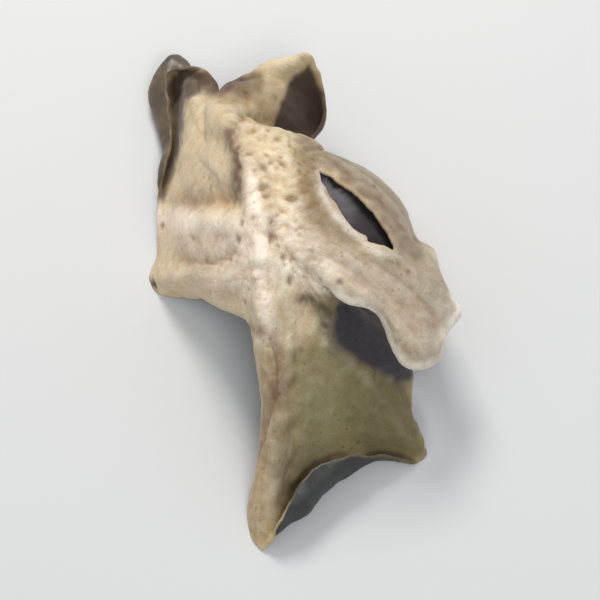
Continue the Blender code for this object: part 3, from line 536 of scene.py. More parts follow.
def bell(gap, width):
    """A bell curve: 1 in its middle."""
    return np.exp(-((gap / width) ** 2))


def lengths_along(points):
    """How far along a line each of its points is."""
    return np.concatenate([[0.0], np.cumsum(np.linalg.norm(np.diff(points, axis=0), axis=1))])


def points_along(points, places):
    """Points at places along a line."""
    lengths = lengths_along(points)
    return np.stack([np.interp(places, lengths, column) for column in points.T], axis=1)


def tapered(along, rate, least):
    """Falls off towards both ends of a line, for places given as shares of it."""
    return np.clip(np.minimum(along, 1 - along) * rate + least, 0, 1)


def gathered(count, places, values):
    """The sum of the values that belong to each of so many places."""
    total = np.zeros((count, *values.shape[1:]))
    np.add.at(total, places, values)
    return total


def at_corners(count, triangles, values):
    """The sum at each point of the values of its triangles."""
    return gathered(count, triangles.T.ravel(), np.concatenate([values] * 3))


def edges_of(triangles):
    """The edges, which one each side of a triangle is, and how many sides each edge is."""
    sides = np.sort(sides_of(triangles), axis=1)
    edges, which, uses = np.unique(sides, axis=0, return_inverse=True, return_counts=True)
    return edges, which.ravel(), uses


def sides_of(triangles):
    return np.concatenate([triangles[:, (0, 1)], triangles[:, (1, 2)], triangles[:, (2, 0)]])


def both_ways(pairs):
    return np.concatenate([pairs, pairs[:, ::-1]])


def crosses(points, triangles):
    """The normal of each triangle, twice as long as its area."""
    a, b, c = points[triangles.T]
    return np.cross(b - a, c - a)


def normals(points, triangles):
    """Normals of a mesh at its points."""
    return unit_rows(at_corners(len(points), triangles, crosses(points, triangles)))


class Net:
    """The links between the neighbouring points of a mesh, which are given as pairs."""

    def __init__(self, pairs, count):
        self.here, self.there = both_ways(pairs).T
        self.degree = np.bincount(self.here, minlength=count).astype(float)

    def mean(self, values):
        """The mean of the values at the neighbours of each point."""
        total = gathered(len(values), self.here, values[self.there])
        return total / (self.degree if values.ndim == 1 else self.degree[:, None])

    def soften(self, values, rounds):
        """Evens values out over the surface."""
        for _ in range(rounds):
            values = 0.5 * values + 0.5 * self.mean(values)
        return values


def smooth_path(points, shares):
    """Points at shares of the length of a smooth curve through the given points."""
    points = np.array(points, float)
    knots = lengths_along(points)
    slopes = np.gradient(points, knots, axis=0)
    fine = np.linspace(0, knots[-1], CURVE_STEPS)
    i = np.clip(np.searchsorted(knots, fine, side="right") - 1, 0, len(knots) - 2)
    span = (knots[i + 1] - knots[i])[:, None]
    t = (fine - knots[i])[:, None] / span
    curve = (
        points[i] * (1 + 2 * t) * (1 - t) ** 2
        + slopes[i] * span * t * (1 - t) ** 2
        + points[i + 1] * t * t * (3 - 2 * t)
        + slopes[i + 1] * span * t * t * (t - 1)
    )
    return points_along(curve, np.array(shares) * lengths_along(curve)[-1])


def spoke_body(spoke):
    """Stations of a spoke from the crown to the edge."""
    path = [from_view(*CROWN)] + [from_view(*p) for p in spoke.path]
    count = max(round(lengths_along(path)[-1] / BODY_STATION_GAP), LEAST_BODY_STATIONS)
    return smooth_path(path, np.arange(count + 1) / count)


def lip_stations(spoke, body, before, after):
    """Stations of the lip of a spoke, square to the edge, which runs from before to after."""
    rim = unit(unit(body[-1] - before) + unit(after - body[-1]))
    above = unit(np.cross(unit(body[-1] - body[-2]), rim))
    heading = np.cross(rim, above)
    count = min(max(round(spoke.lip / LIP_STATION_GAP), 1), MOST_LIP_STATIONS)
    points, here = [], body[-1]
    for k in range(count):
        for j in range(LIP_STEPS):
            share = (k + (j + 0.5) / LIP_STEPS) / count
            angle = math.radians(spoke.curl) * min(share / spoke.bend, 1.0)
            way = heading * math.cos(angle) - above * math.sin(angle)
            here = here + way * (spoke.lip / count / LIP_STEPS)
        points.append(here)
    return points


def spoke_net():
    """Stations of each spoke, its body and then its lip, with the share of its length at each."""
    bodies = [spoke_body(spoke) for spoke in SPOKES]
    edges = [body[-1] for body in bodies]
    net = []
    for i, spoke in enumerate(SPOKES):
        lip = lip_stations(spoke, bodies[i], edges[i - 1], edges[(i + 1) % len(edges)])
        stations = np.array([*bodies[i], *lip])
        lengths = lengths_along(stations)
        net.append((stations, lengths / lengths[-1]))
    return net


def plate_kernel(a, b):
    """Thin plate kernel between two sets of points on the flat disc."""
    squares = ((a[:, None, :] - b[None, :, :]) ** 2).sum(axis=2)
    return 0.5 * squares * np.log(squares + 1e-12)


class Sheet:
    """The sheet's middle surface: a thin plate that passes the stations of all the spokes."""

    def __init__(self):
        net = spoke_net()
        edge = np.array([stations[-2] for stations, _ in net])
        gaps = np.linalg.norm(edge - np.roll(edge, 1, axis=0), axis=1) + EDGE_GAP
        turns = np.cumsum(gaps) / gaps.sum() * 2 * math.pi
        flat, solid = [[0.0, 0.0]], [from_view(*CROWN)]
        for (stations, radii), turn in zip(net, turns):
            for radius, point in list(zip(radii, stations))[1:]:
                flat.append([radius * math.cos(turn), radius * math.sin(turn)])
                solid.append(point)
        self.flat = np.array(flat)
        count = len(flat)
        system = np.zeros((count + 3, count + 3))
        system[:count, :count] = plate_kernel(self.flat, self.flat) + FAIRING * np.eye(count)
        system[:count, count] = system[count, :count] = 1
        system[:count, count + 1:] = self.flat
        system[count + 1:, :count] = self.flat.T
        self.weights = np.linalg.solve(system, np.concatenate([solid, np.zeros((3, 3))]))
        self.lookup_flat = disc_points(LOOKUP_RINGS)
        self.lookup = self.points(self.lookup_flat)
        self.lookup_view, self.lookup_near = to_view(self.lookup)

    def points(self, flat):
        """Points of the sheet at places on the flat disc."""
        found = []
        for part in np.array_split(flat, max(1, len(flat) // PART_SIZE)):
            bent = plate_kernel(part, self.flat) @ self.weights[:-3]
            found.append(bent + self.weights[-3] + part @ self.weights[-2:])
        return np.concatenate(found)

    def seen(self, across, up):
        """Which lookup point is on the topmost layer that the viewer sees at (across, up)."""
        gap = gap_from(self.lookup_view, across, up)
        score = self.lookup_near - SIGHT_COST * np.maximum(gap - SIGHT_FREE, 0)
        near = gap < max(SIGHT_REACH, gap.min() + SIGHT_SPARE)
        return int(np.argmax(np.where(near, score, -1e9)))


def disc_points(rings):
    """Points of a disc in rings: ring k has 6k points."""
    points = [(0.0, 0.0)]
    for k in range(1, rings + 1):
        for j in range(6 * k):
            turn = j / (6 * k) * 2 * math.pi
            points.append((k / rings * math.cos(turn), k / rings * math.sin(turn)))
    return np.array(points)


def inside_loop(points, loop):
    """Which of the points lie inside a closed loop."""
    inside = np.zeros(len(points), bool)
    for a, b in zip(loop, np.roll(loop, -1, axis=0)):
        passes = (a[1] > points[:, 1]) != (b[1] > points[:, 1])
        rise = b[1] - a[1] if b[1] != a[1] else 1e-12
        x = a[0] + (points[:, 1] - a[1]) * (b[0] - a[0]) / rise
        inside ^= passes & (points[:, 0] < x)
    return inside


def gap_from_loop(points, loop):
    """Distance of points from the nearest point of a loop."""
    return np.sqrt(((points[:, None] - loop[None]) ** 2).sum(axis=2)).min(axis=1)


def tear_loop(sheet, spacing):
    """The tear's outline on the flat disc, with points a spacing apart."""
    flat = np.array([sheet.lookup_flat[sheet.seen(*p)] for p in TEAR])
    for _ in range(TEAR_CUTS):
        after = np.roll(flat, -1, axis=0)
        flat = np.stack([0.75 * flat + 0.25 * after, 0.25 * flat + 0.75 * after], axis=1).reshape(-1, 2)
    closed = np.concatenate([flat, flat[:1]])
    length = lengths_along(closed)[-1]
    count = max(LEAST_TEAR_POINTS, round(length / spacing))
    return points_along(closed, np.arange(count) / count * length)


def ring_pairs(ring):
    """Each point of a closed ring with the next."""
    return list(zip(ring, ring[1:] + ring[:1]))


def flat_mesh(sheet, rings):
    """Points and triangles of the flat disc without the tear, the outer ring and the tear's loop."""
    spacing = 1.0 / rings
    loop = tear_loop(sheet, spacing)
    points = disc_points(rings)
    keep = (gap_from_loop(points, loop) > TEAR_CLEARANCE * spacing) & ~inside_loop(points, loop)
    points = np.concatenate([loop, points[keep]])
    hole = list(range(len(loop)))
    ring = list(range(len(points) - 6 * rings, len(points)))
    edges = ring_pairs(hole) + ring_pairs(ring)
    faces = np.array(delaunay_2d_cdt([Vector(p) for p in points], edges, [], 0, 1e-7)[2])
    faces = faces[~inside_loop(points[faces].mean(axis=1), loop)]
    a, b, c = points[faces.T]
    over = (b[:, 0] - a[:, 0]) * (c[:, 1] - a[:, 1]) - (b[:, 1] - a[:, 1]) * (c[:, 0] - a[:, 0]) >= 0
    return points, np.where(over[:, None], faces, faces[:, (0, 2, 1)]), ring, hole


def neat_triangles(points, triangles):
    """The same surface with edges turned so that its triangles are as even as they can be."""
    body = bmesh.new()
    corners = [body.verts.new(p) for p in points]
    for t in triangles.tolist():
        body.faces.new([corners[i] for i in t])
    body.normal_update()
    inner = [e for e in body.edges if len(e.link_faces) == 2]
    bmesh.ops.beautify_fill(body, faces=list(body.faces), edges=inner, method="ANGLE")
    body.verts.index_update()
    found = np.array([[v.index for v in f.verts] for f in body.faces])
    body.free()
    return found


def even_out(sheet, flat, triangles, fixed):
    """Slides the points over the sheet until they are evenly spaced. The fixed ones stay."""
    moving = np.ones((len(flat), 1), bool)
    moving[fixed] = False
    points = sheet.points(flat)
    for _ in range(EVEN_ROUNDS):
        triangles = neat_triangles(points, triangles)
        here, there = (triangles[:, ends].T.ravel() for ends in ((0, 1, 1, 2, 2, 0), (1, 0, 2, 1, 0, 2)))
        for _ in range(EVEN_STEPS):
            pull = np.linalg.norm(points[here] - points[there], axis=1)[:, None]
            target = gathered(len(flat), here, pull * flat[there]) / gathered(len(flat), here, pull)
            flat = np.where(moving, 0.3 * flat + 0.7 * target, flat)
            points = sheet.points(flat)
    return flat, neat_triangles(points, triangles), points


def full_size(flat):
    """Points of the flat disc at the sheet's size."""
    return np.column_stack([flat * FLAT_RADIUS, np.zeros(len(flat))])


def stretch(points, flat, triangles):
    """How much of its flat size the sheet has at each point, at most one."""
    solid, plain = (
        at_corners(len(points), triangles, np.linalg.norm(crosses(p, triangles), axis=1))
        for p in (points, full_size(flat)))
    return np.minimum(np.sqrt(solid / plain), 1.0)


def line_distance(points, line):
    """Distance of points from a line, and how far along it they are as a share."""
    best = np.full(len(points), 1e9)
    along = np.zeros(len(points))
    lengths = lengths_along(line)
    for k, way in enumerate(np.diff(line, axis=0)):
        size = way @ way
        if size < 1e-12:
            continue
        t = np.clip(((points - line[k]) @ way) / size, 0, 1)
        gap = np.linalg.norm(points - line[k] - t[:, None] * way, axis=1)
        nearer = gap < best
        best = np.where(nearer, gap, best)
        along = np.where(nearer, (lengths[k] + t * (lengths[k + 1] - lengths[k])) / lengths[-1], along)
    return best, along


def sharp_fold(gap, width, finest):
    """A fold's height across it, blunted so that the mesh can carry it."""
    return np.exp((0.5 * finest - np.hypot(gap, 0.5 * finest)) / width)


def fold_heights(sheet, points, finest):
    """Height of the named folds at each point. finest is the narrowest that the mesh can carry."""
    heights = np.zeros(len(points))
    for fold in FOLDS:
        shares = np.linspace(0, 1, FOLD_POINTS)
        line = np.array([sheet.lookup[sheet.seen(*p)] for p in smooth_path(fold.line, shares)])
        for _ in range(FOLD_ROUNDS):
            line[1:-1] = (line[:-2] + 2 * line[1:-1] + line[2:]) / 4
        gap, along = line_distance(points, line)
        width = max(fold.width, finest)
        if fold.sharp:
            shape = sharp_fold(gap, width, finest) - DIP * bell(gap, DIP_WIDTH * width)
        else:
            shape = bell(gap, width)
        heights += fold.height * tapered(along, *FOLD_TAPER) * shape
    return heights


def crumple_heights(flat, finest):
    """Height of the chance folds at each point of the flat disc."""
    chance = np.random.default_rng(CRUMPLE_SEED)
    heights = np.zeros(len(flat))
    for _ in range(CRUMPLES):
        radius = FLAT_RADIUS * math.sqrt(chance.uniform(0.02, 1.0))
        turn = chance.uniform(0, 2 * math.pi)
        centre = np.array([radius * math.cos(turn), radius * math.sin(turn)])
        way = turn + chance.normal(0, CRUMPLE_TURN)
        place = flat * FLAT_RADIUS - centre
        along = place @ np.array([math.cos(way), math.sin(way)])
        across = place @ np.array([-math.sin(way), math.cos(way)])
        across = across + CRUMPLE_BEND * chance.normal() * along ** 2 / 6
        length = chance.uniform(*CRUMPLE_LENGTHS)
        width = max(chance.uniform(*CRUMPLE_WIDTHS), finest)
        height = CRUMPLE_HEIGHT * chance.choice([-1, 1]) * chance.uniform(*CRUMPLE_HEIGHT_SHARES)
        heights += height * sharp_fold(across, width, finest) * bell(along, length)
    return heights


def spared_thickness(middle, triangles, thick):
    """Thins the sheet in bends that are too tight for it, so that its skin does not fold over itself."""
    up = normals(middle, triangles)
    plain = crosses(middle, triangles)
    size = (plain ** 2).sum(axis=1)
    for _ in range(SPARE_ROUNDS):
        tight = np.zeros(len(triangles), bool)
        for side in (0.5, -0.5):
            skin = crosses(middle + up * (side * SPARE_REACH * thick)[:, None], triangles)
            tight |= (skin * plain).sum(axis=1) < SPARE_LEAST * size
        if not tight.any():
            break
        thin = np.unique(triangles[tight])
        thick[thin] = np.maximum(thick[thin] * SPARE_THINNING, LEAST_THICKNESS)
    return thick


def rim_faces(triangles, loops, count):
    """Faces that join the outer skin to the inner one round the rim and the tear."""
    around = set(map(tuple, sides_of(triangles).tolist()))
    faces = []
    for a, b in itertools.chain(*map(ring_pairs, loops)):
        if (a, b) not in around:
            a, b = b, a
        faces += [(b, a, a + count), (b, a + count, b + count)]
    return np.array(faces)


def skins(middle, triangles, thick):
    """Points of the outer skin and then the inner one."""
    half = normals(middle, triangles) * thick[:, None] / 2
    return np.concatenate([middle + half, middle - half])


def crossing_points(points, faces):
    """Points of the faces that cross another face which they do not touch."""
    tree = BVHTree.FromPolygons(points.tolist(), faces.tolist(), epsilon=0.0)
    pairs = np.array(tree.overlap(tree), int).reshape(-1, 2)
    first, second = faces[pairs[pairs[:, 0] < pairs[:, 1]].T]
    shared = (first[:, :, None] == second[:, None, :]).any(axis=(1, 2))
    return np.unique(np.concatenate([first[~shared], second[~shared]]))


def untangle(middle, triangles, loops, thick, body_faces):
    """Smooths and thins the sheet wherever its skins cross, until they no longer do."""
    count = len(middle)
    net = Net(sides_of(triangles), count)
    rim = np.concatenate(loops)
    beside = np.concatenate([np.stack([np.roll(loop, 1), np.roll(loop, -1)], axis=1) for loop in loops])
    for _ in range(UNTANGLE_ROUNDS):
        bad = crossing_points(skins(middle, triangles, thick), body_faces)
        if not len(bad):
            break
        near = np.zeros(count, bool)
        near[bad % count] = True
        for _ in range(UNTANGLE_REACH):
            near[net.there[near[net.here]]] = True
        for _ in range(UNTANGLE_SMOOTHS):
            mean = net.mean(middle)
            mean[rim] = middle[beside].mean(axis=1)
            middle = np.where(near[:, None], 0.5 * middle + 0.5 * mean, middle)
        thick = np.where(near, np.maximum(thick * UNTANGLE_THINNING, LEAST_THICKNESS), thick)
    return middle, thick


def clipped_box(points, faces):
    """Lowest and highest corner of what of the body is over the floor."""
    a, b = points[sides_of(faces).T]
    cut = (a[:, 2] > 0) != (b[:, 2] > 0)
    a, b = a[cut], b[cut]
    share = (a[:, 2] / (a[:, 2] - b[:, 2]))[:, None]
    kept = np.concatenate([points[points[:, 2] > 0], a + (b - a) * share])
    return kept.min(axis=0), kept.max(axis=0)


def coarse_sheet():
    """The sheet as the solid has it: plain, folded, flat places, thickness, triangles, and its shift."""
    sheet = Sheet()
    flat, triangles, ring, hole = flat_mesh(sheet, DISC_RINGS)
    flat, triangles, plain = even_out(sheet, flat, triangles, ring + hole)
    heights = fold_heights(sheet, plain, COARSE_FOLD) + crumple_heights(flat, COARSE_FOLD)
    heights = heights * stretch(plain, flat, triangles)
    middle = plain + normals(plain, triangles) * heights[:, None]
    edge = np.minimum(1 - np.hypot(flat[:, 0], flat[:, 1]), gap_from_loop(flat, flat[hole]))
    share = np.clip(edge / THIN_MARGIN, 0, 1)
    thick = RIM_THICKNESS + (THICKNESS - RIM_THICKNESS) * share * (2 - share)
    thick = spared_thickness(middle, triangles, thick)
    count = len(middle)
    faces = [triangles, triangles[:, ::-1] + count, rim_faces(triangles, (ring, hole), count)]
    faces = np.concatenate(faces)
    middle, thick = untangle(middle, triangles, (ring, hole), thick, faces)
    points = skins(middle, triangles, thick)
    drop = points[:, 2].min() + FOOT_CUT
    low, high = clipped_box(points - (0, 0, drop), faces)
    shift = np.array([-(low[0] + high[0]) / 2, -(low[1] + high[1]) / 2, -drop])
    return sheet, plain, middle, flat, thick, triangles, shift


def loop_subdivide(values, triangles):
    """Divides each triangle in four and smooths, by Loop's rule. values has a row for each point."""
    count = len(values)
    edges, which, uses = edges_of(triangles)
    inner = uses == 2
    opposite = gathered(len(edges), which, values[triangles[:, (2, 0, 1)].T.ravel()])
    ends = values[edges[:, 0]] + values[edges[:, 1]]
    middles = np.where(inner[:, None], 0.375 * ends + 0.125 * opposite, 0.5 * ends)
    here, there = both_ways(edges).T
    degree = np.bincount(here, minlength=count)
    share = np.where(degree == 3, 3 / 16, 3 / (8 * degree))[:, None]
    moved = (1 - share * degree[:, None]) * values + share * gathered(count, here, values[there])
    here, there = both_ways(edges[~inner]).T
    on_border = np.bincount(here, minlength=count) > 0
    smooth_border = 0.75 * values + 0.125 * gathered(count, here, values[there])
    moved = np.where(on_border[:, None], smooth_border, moved)
    ab, bc, ca = count + which.reshape(3, -1)
    a, b, c = triangles.T
    finer = [(a, ab, ca), (ab, b, bc), (ca, bc, c), (ab, bc, ca)]
    return np.concatenate([moved, middles]), np.concatenate([np.stack(t, axis=1) for t in finer])


def border_loops(triangles):
    """Closed loops of points round the mesh's borders, in the order of the triangles' own turn."""
    _, which, uses = edges_of(triangles)
    after = dict(sides_of(triangles)[uses[which] == 1].tolist())
    loops = []
    while after:
        start = next(iter(after))
        loop = [start]
        here = after.pop(start)
        while here != start:
            loop.append(here)
            here = after.pop(here)
        loops.append(loop)
    return loops


def noise(points, size, seed):
    """Smooth noise of about -1 to 1, with lumps of that size: slopes at the corners of cells, blended."""
    place = points / size + NOISE_SHIFT
    cell = np.floor(place).astype(np.int64)
    share = place - cell
    blend = share ** 3 * (share * (share * 6 - 15) + 10)
    total = np.zeros(len(points))
    for corner in itertools.product((0, 1), repeat=3):
        corner = np.array(corner)
        code = np.bitwise_xor.reduce((cell + corner) * MIX_CORNER, axis=1)
        code = code ^ (seed * MIX_SEED[0] + MIX_SEED[1])
        for step, factor in MIX_ROUNDS:
            code = ((code ^ (code >> step)) * factor) & 0xFFFFFFFF
        code = code ^ (code >> 16)
        turn = (code & 0xFFFF) / 65536 * 2 * math.pi
        tilt = (code >> 16) / 32768 - 1
        flat = np.sqrt(1 - tilt ** 2)
        way = share - corner
        slope = flat * np.cos(turn) * way[:, 0] + flat * np.sin(turn) * way[:, 1] + tilt * way[:, 2]
        total += np.prod(np.where(corner == 1, blend, 1 - blend), axis=1) * slope
    return total * NOISE_GAIN


def field(points, *names):
    """The sum of named fields of noise."""
    return sum(strength * noise(points, size, seed) for strength, size, seed in map(FIELDS.get, names))


def ridges(values):
    """Noise turned into sharp ridges, from about -1 to 1."""
    return 1 - RIDGE * np.abs(values)


def ridge_field(points, name):
    strength, size, seed = FIELDS[name]
    return strength * ridges(noise(points, size, seed))


def slope_size(points, triangles, values):
    """How steeply values change over the surface at each point."""
    a, b, c = points[triangles.T]
    at_a, at_b, at_c = values[triangles.T][:, :, None]
    rise = np.linalg.norm(at_a * (c - b) + at_b * (a - c) + at_c * (b - a), axis=1)
    double = np.linalg.norm(crosses(points, triangles), axis=1)
    return at_corners(len(points), triangles, rise) / at_corners(len(points), triangles, double)


class FineSheet:
    """The sheet divided finely, with its sharp folds, wrinkles and pits."""

    def __init__(self):
        self.sheet, plain, middle, flat, thick, triangles, self.shift = coarse_sheet()
        values = np.column_stack([middle, plain, flat, thick])
        for _ in range(DIVISIONS):
            values, triangles = loop_subdivide(values, triangles)
        self.middle, plain, self.flat = values[:, :3], values[:, 3:6], values[:, 6:8]
        self.thick = values[:, 8]
        self.triangles = triangles
        self.net = Net(edges_of(triangles)[0], len(values))
        self.loops = border_loops(triangles)
        self.look()
        self.rim_gap = self.gap_from_rim()
        self.wrinkles = self.wrinkle_heights()
        self.lift(self.sharper_folds(plain) + self.crumple() + self.wave())
        self.ease()
        self.fray()
        self.look()
        self.bumps = self.bump_heights()
        self.pits = self.pit_depths()

    def look(self):
        """Finds what the viewer sees of the sheet, and the painted areas."""
        self.up = normals(self.middle, self.triangles)
        self.view, self.near = to_view(self.middle)
        over = self.middle[:, 2] > WING_OVER[0] - WING_OVER[1] * self.middle[:, 0]
        among = {"seen": np.ones(len(over), bool), "wing": over, "below": ~over}
        among["flap"] = self.near < FLAP_NEAREST
        self.layers = {layer: self.on_top(points) for layer, points in among.items()}
        self.shown = self.layers["seen"]
        self.areas = [self.inside_patch(patch) for patch in PATCHES]
        self.calm = self.evenness()

    def lift(self, heights):
        self.middle = self.middle + self.up * heights[:, None]

    def gap_from_rim(self):
        """Distance of each point from the nearest rim, over the surface."""
        gap = np.full(len(self.middle), 1e3)
        gap[np.concatenate(self.loops)] = 0
        here, there = self.net.here, self.net.there
        length = np.linalg.norm(self.middle[here] - self.middle[there], axis=1)
        for _ in range(RIM_GAP_ROUNDS):
            np.minimum.at(gap, here, gap[there] + length)
        return gap

    def wrinkle_heights(self):
        """Fine wrinkles that run out from the scar and keep about the same distance from each other."""
        way = self.flat - self.sheet.lookup_flat[self.sheet.seen(*WRINKLE_START)]
        reach = np.linalg.norm(way, axis=1, keepdims=True)
        turn = way / np.maximum(reach, 1e-3)
        reach = reach * FLAT_RADIUS
        self.rays = np.column_stack([turn * RAY_SCALE, reach])
        steep = np.hypot(*(slope_size(self.middle, self.triangles, turn[:, k]) for k in range(2)))
        heights, total = np.zeros(len(way)), np.full(len(way), 1e-6)
        for k, cycles in enumerate(RAY_CYCLES):
            gap = 1 / np.maximum(steep * cycles, 1e-6)
            weight = bell(np.log(gap / WRINKLE_GAP), WRINKLE_GAP_SPREAD)
            place = np.column_stack([turn * cycles, reach / WRINKLE_LENGTH])
            heights += weight * ridges(noise(place, 1.0, WRINKLE_SEED + k))
            total += weight
        return heights / total

    def sharper_folds(self, plain):
        """What the folds gain in height where they are drawn sharper than in the solid."""
        gain = fold_heights(self.sheet, plain, FINE_FOLD) - fold_heights(self.sheet, plain, COARSE_FOLD)
        gain += crumple_heights(self.flat, FINE_FOLD) - crumple_heights(self.flat, COARSE_FOLD)
        return gain * stretch(plain, self.flat, self.triangles)

    def crumple(self):
        """Small sharp folds all over."""
        large = ridge_field(self.middle, "large crumples")
        small = ridge_field(self.middle + SMALL_CRUMPLES_OUT * self.up, "small crumples")
        patchy = np.clip(CRUMPLED + field(self.middle, "crumpled parts"), *CRUMPLED_RANGE)
        return patchy * (1 - CALM_CRUMPLES * self.calm) * (large + small)

    def wave(self):
        """The margin's own waves, which die out a few millimetres in."""
        return np.exp(-self.rim_gap / WAVE_REACH) * field(full_size(self.flat), "long waves", "short waves")

    def ease(self):
        """Evens out a steep turn."""
        amount = bell(gap_from(self.view, *EASED[:2]), EASED[2]) * self.shown
        even = self.net.soften(self.middle, EASE_ROUNDS)
        self.middle = self.middle + (even - self.middle) * amount[:, None]

    def outward(self, loop):
        """Directions in the sheet and square to the rim at the points of a loop."""
        points = self.middle[loop]
        along = np.roll(points, -1, axis=0) - np.roll(points, 1, axis=0)
        return unit_rows(np.cross(along, self.up[loop]))

    def fray(self):
        """Makes the margin ragged."""
        ragged = np.zeros_like(self.middle)
        for loop in self.loops:
            amount = field(self.middle[loop], "fine fray", "wide fray")
            ragged[loop] = self.outward(loop) * amount[:, None]
        rim = np.concatenate(self.loops)
        shift = ragged.copy()
        for _ in range(FRAY_ROUNDS):
            shift = self.net.soften(shift, 1)
            shift[rim] = ragged[rim]
        self.middle = self.middle + shift

    def on_top(self, among):
        """How surely each point is one of some points, and as near to the viewer as the nearest of them."""
        cells = np.floor(self.view / SHOWN_CELL).astype(int)
        cells -= cells.min(axis=0)
        top = np.full(cells.max(axis=0) + 1, -1e9)
        np.maximum.at(top, tuple(cells[among].T), self.near[among])
        behind = top[tuple(cells.T)] - self.near
        return self.net.soften((behind < SHOWN_DEPTH).astype(float), SHOWN_ROUNDS) * among

    def inside_patch(self, patch):
        """How far inside a patch each point is: 0 outside to 1 inside."""
        return self.inside_outline(patch.outline, patch.soft) * self.layers[patch.layer]

    def inside_outline(self, outline, soft):
        """How far inside an outline, as the viewer sees it, each point is: 0 outside to 1 inside."""
        outline = np.array(outline, float)
        gap = line_distance(self.view, np.concatenate([outline, outline[:1]]))[0]
        gap = np.where(inside_loop(self.view, outline), gap, -gap)
        gap = gap + soft * field(self.middle, "patch edges")
        share = np.clip(gap / (2 * soft) + 0.5, 0, 1)
        return share * share * (3 - 2 * share)

    def near_line(self, stroke):
        """How near a stroke each point is: 0 far from it to 1 on it."""
        line = smooth_path(stroke.line, np.linspace(0, 1, STROKE_POINTS))
        astray = stroke.width * field(self.middle, "stroke edges")
        gap, along = line_distance(self.view + astray[:, None], line)
        return bell(gap, stroke.width) * tapered(along, *STROKE_TAPER) * self.layers[stroke.layer]

    def evenness(self):
        """How even the texture is at each point, from 0 to 1."""
        calm = np.clip(CALM + field(self.middle, "calm parts"), 0, 1)
        for patch, area in zip(PATCHES, self.areas):
            calm = calm + (patch.calm - calm) * area * CALM_SET
        return np.clip(calm, 0, 1)

    def bump_heights(self):
        """The lumpy skin to the right of the crest, and faint lumps everywhere."""
        lumpy = self.inside_outline(LUMPY, LUMPY_SOFT) * self.shown
        return field(self.middle, "lumps", "small lumps") * (LUMPS[0] + LUMPS[1] * lumpy)

    def pit_depths(self):
        """Depth of the pits at each point."""
        chance = np.random.default_rng(PIT_SEED)
        spots = []
        for across, up, radius in NAMED_PITS:
            gap = gap_from(self.view, across, up) - SHOWN_GAIN * self.shown
            spots.append((self.middle[np.argmin(gap)], radius, NAMED_PIT_DEPTH))
        wanted = PIT_CHANCES[0] + self.inside_outline(LUMPY, PIT_SOFT) * self.shown * PIT_CHANCES[1]
        for place in chance.choice(len(wanted), PITS, p=wanted / wanted.sum()):
            spots.append((self.middle[place], chance.uniform(*PIT_RADII), chance.uniform(*PIT_DEPTHS)))
        uneven = 1 + field(self.middle, "pit shapes")
        depth = np.zeros(len(self.middle))
        for place, radius, deep in spots:
            gap = np.linalg.norm(self.middle - place, axis=1) * uneven
            depth = np.maximum(depth, deep * bell(gap, radius))
        return depth

    def skins(self):
        """Points of the outer skin and of the inner one."""
        wrinkles = WRINKLE_HEIGHT * self.wrinkles
        folds = wrinkles * (1 - CALM_WRINKLES * self.calm) * np.clip(self.rim_gap / WRINKLE_MARGIN, 0, 1)
        over = self.thick / 2 + folds + self.bumps - self.pits
        under = self.thick / 2 - INNER_WRINKLES * wrinkles
        return self.middle + self.up * over[:, None], self.middle - self.up * under[:, None]

    def hollows(self, points):
        """How hollow the outer skin is at each point: under zero on ridges and over it in creases."""
        sink = ((self.net.mean(points) - points) * normals(points, self.triangles)).sum(axis=1)
        sink[np.concatenate(self.loops)] = 0
        return self.net.soften(sink, HOLLOW_ROUNDS) / FULL_CREASE


def linear(colour):
    """The linear values of a colour given as 0 to 255."""
    share = np.array(colour, float) / 255
    return np.where(share <= 0.04045, share / 12.92, ((share + 0.055) / 1.055) ** 2.4)


def towards(colour, target, amount):
    """Colours moved towards others, by an amount for each point."""
    return colour + (target - colour) * amount[:, None]


def paleness(colour):
    """How much of the pale tints the skin takes at each point."""
    return np.clip(colour.mean(axis=1) / FULL_PALE, 0, 1)


def painted(fine, outer):
    """The outer skin's colour at each point."""
    drift = np.clip(USUAL_TAN + field(fine.middle, "wide drift", "drift"), 0, 1)
    colour = towards(linear(PALE), linear(TAN), drift)
    blush = np.clip(field(fine.middle, "blush") - NOISE_FLOOR, 0, MOST_BLUSH)
    colour = towards(colour, linear(BLUSH), blush)
    for patch, area in zip(PATCHES, fine.areas):
        colour = towards(colour, linear(patch.colour), patch.strength * area)
    margin = MARGIN_STRENGTH * bell(fine.rim_gap, MARGIN_WIDTH) * paleness(colour)
    colour = towards(colour, linear(MARGIN), margin)
    for stroke in STROKES:
        colour = towards(colour, linear(stroke.colour), stroke.strength * fine.near_line(stroke))
    # Painted highlight along the wing's rim, over its paler margin.
    wide = WING_EDGE_WIDTH * (1 + field(fine.middle, "edge width"))
    edge = WING_EDGE.strength * fine.inside_patch(WING_EDGE) * np.clip(wide - fine.rim_gap, 0, 1)
    colour = towards(colour, linear(WING_EDGE.colour), edge)
    vivid = 1 - CALM_COLOURS * fine.calm
    mottle = np.clip(field(fine.middle, "mottle", "small mottle") - NOISE_FLOOR, 0, 1)
    colour = towards(colour, colour * linear(MOTTLE), mottle * MOTTLE_STRENGTH * vivid)
    # Painted shade in creases, tinted warm brown, and a painted highlight on ridges, both from how hollow the
    # skin is.
    sink = fine.hollows(outer)
    crease = np.clip(sink, 0, 1) * CREASE_STRENGTH * vivid
    colour = towards(colour, colour * linear(CREASE_SHADE) / CREASE_LIGHT, crease)
    crest = np.clip(-sink, 0, 1) * CREST_STRENGTH * vivid
    colour = towards(colour, linear(CREST_HIGHLIGHT), crest * paleness(colour))
    return towards(colour, linear(PIT), np.clip(fine.pits / FULL_PIT, 0, 1) * PIT_STRENGTH)


def painted_inside(fine):
    """The inner skin's colour at each point."""
    drift = np.clip(USUAL_BROWN + field(fine.middle, "inner drift"), 0, 1)
    colour = towards(linear(DARK), linear(BROWN), drift)
    for patch in INNER_PATCHES:
        colour = towards(colour, linear(patch.colour), patch.strength * fine.inside_patch(patch))
    return colour


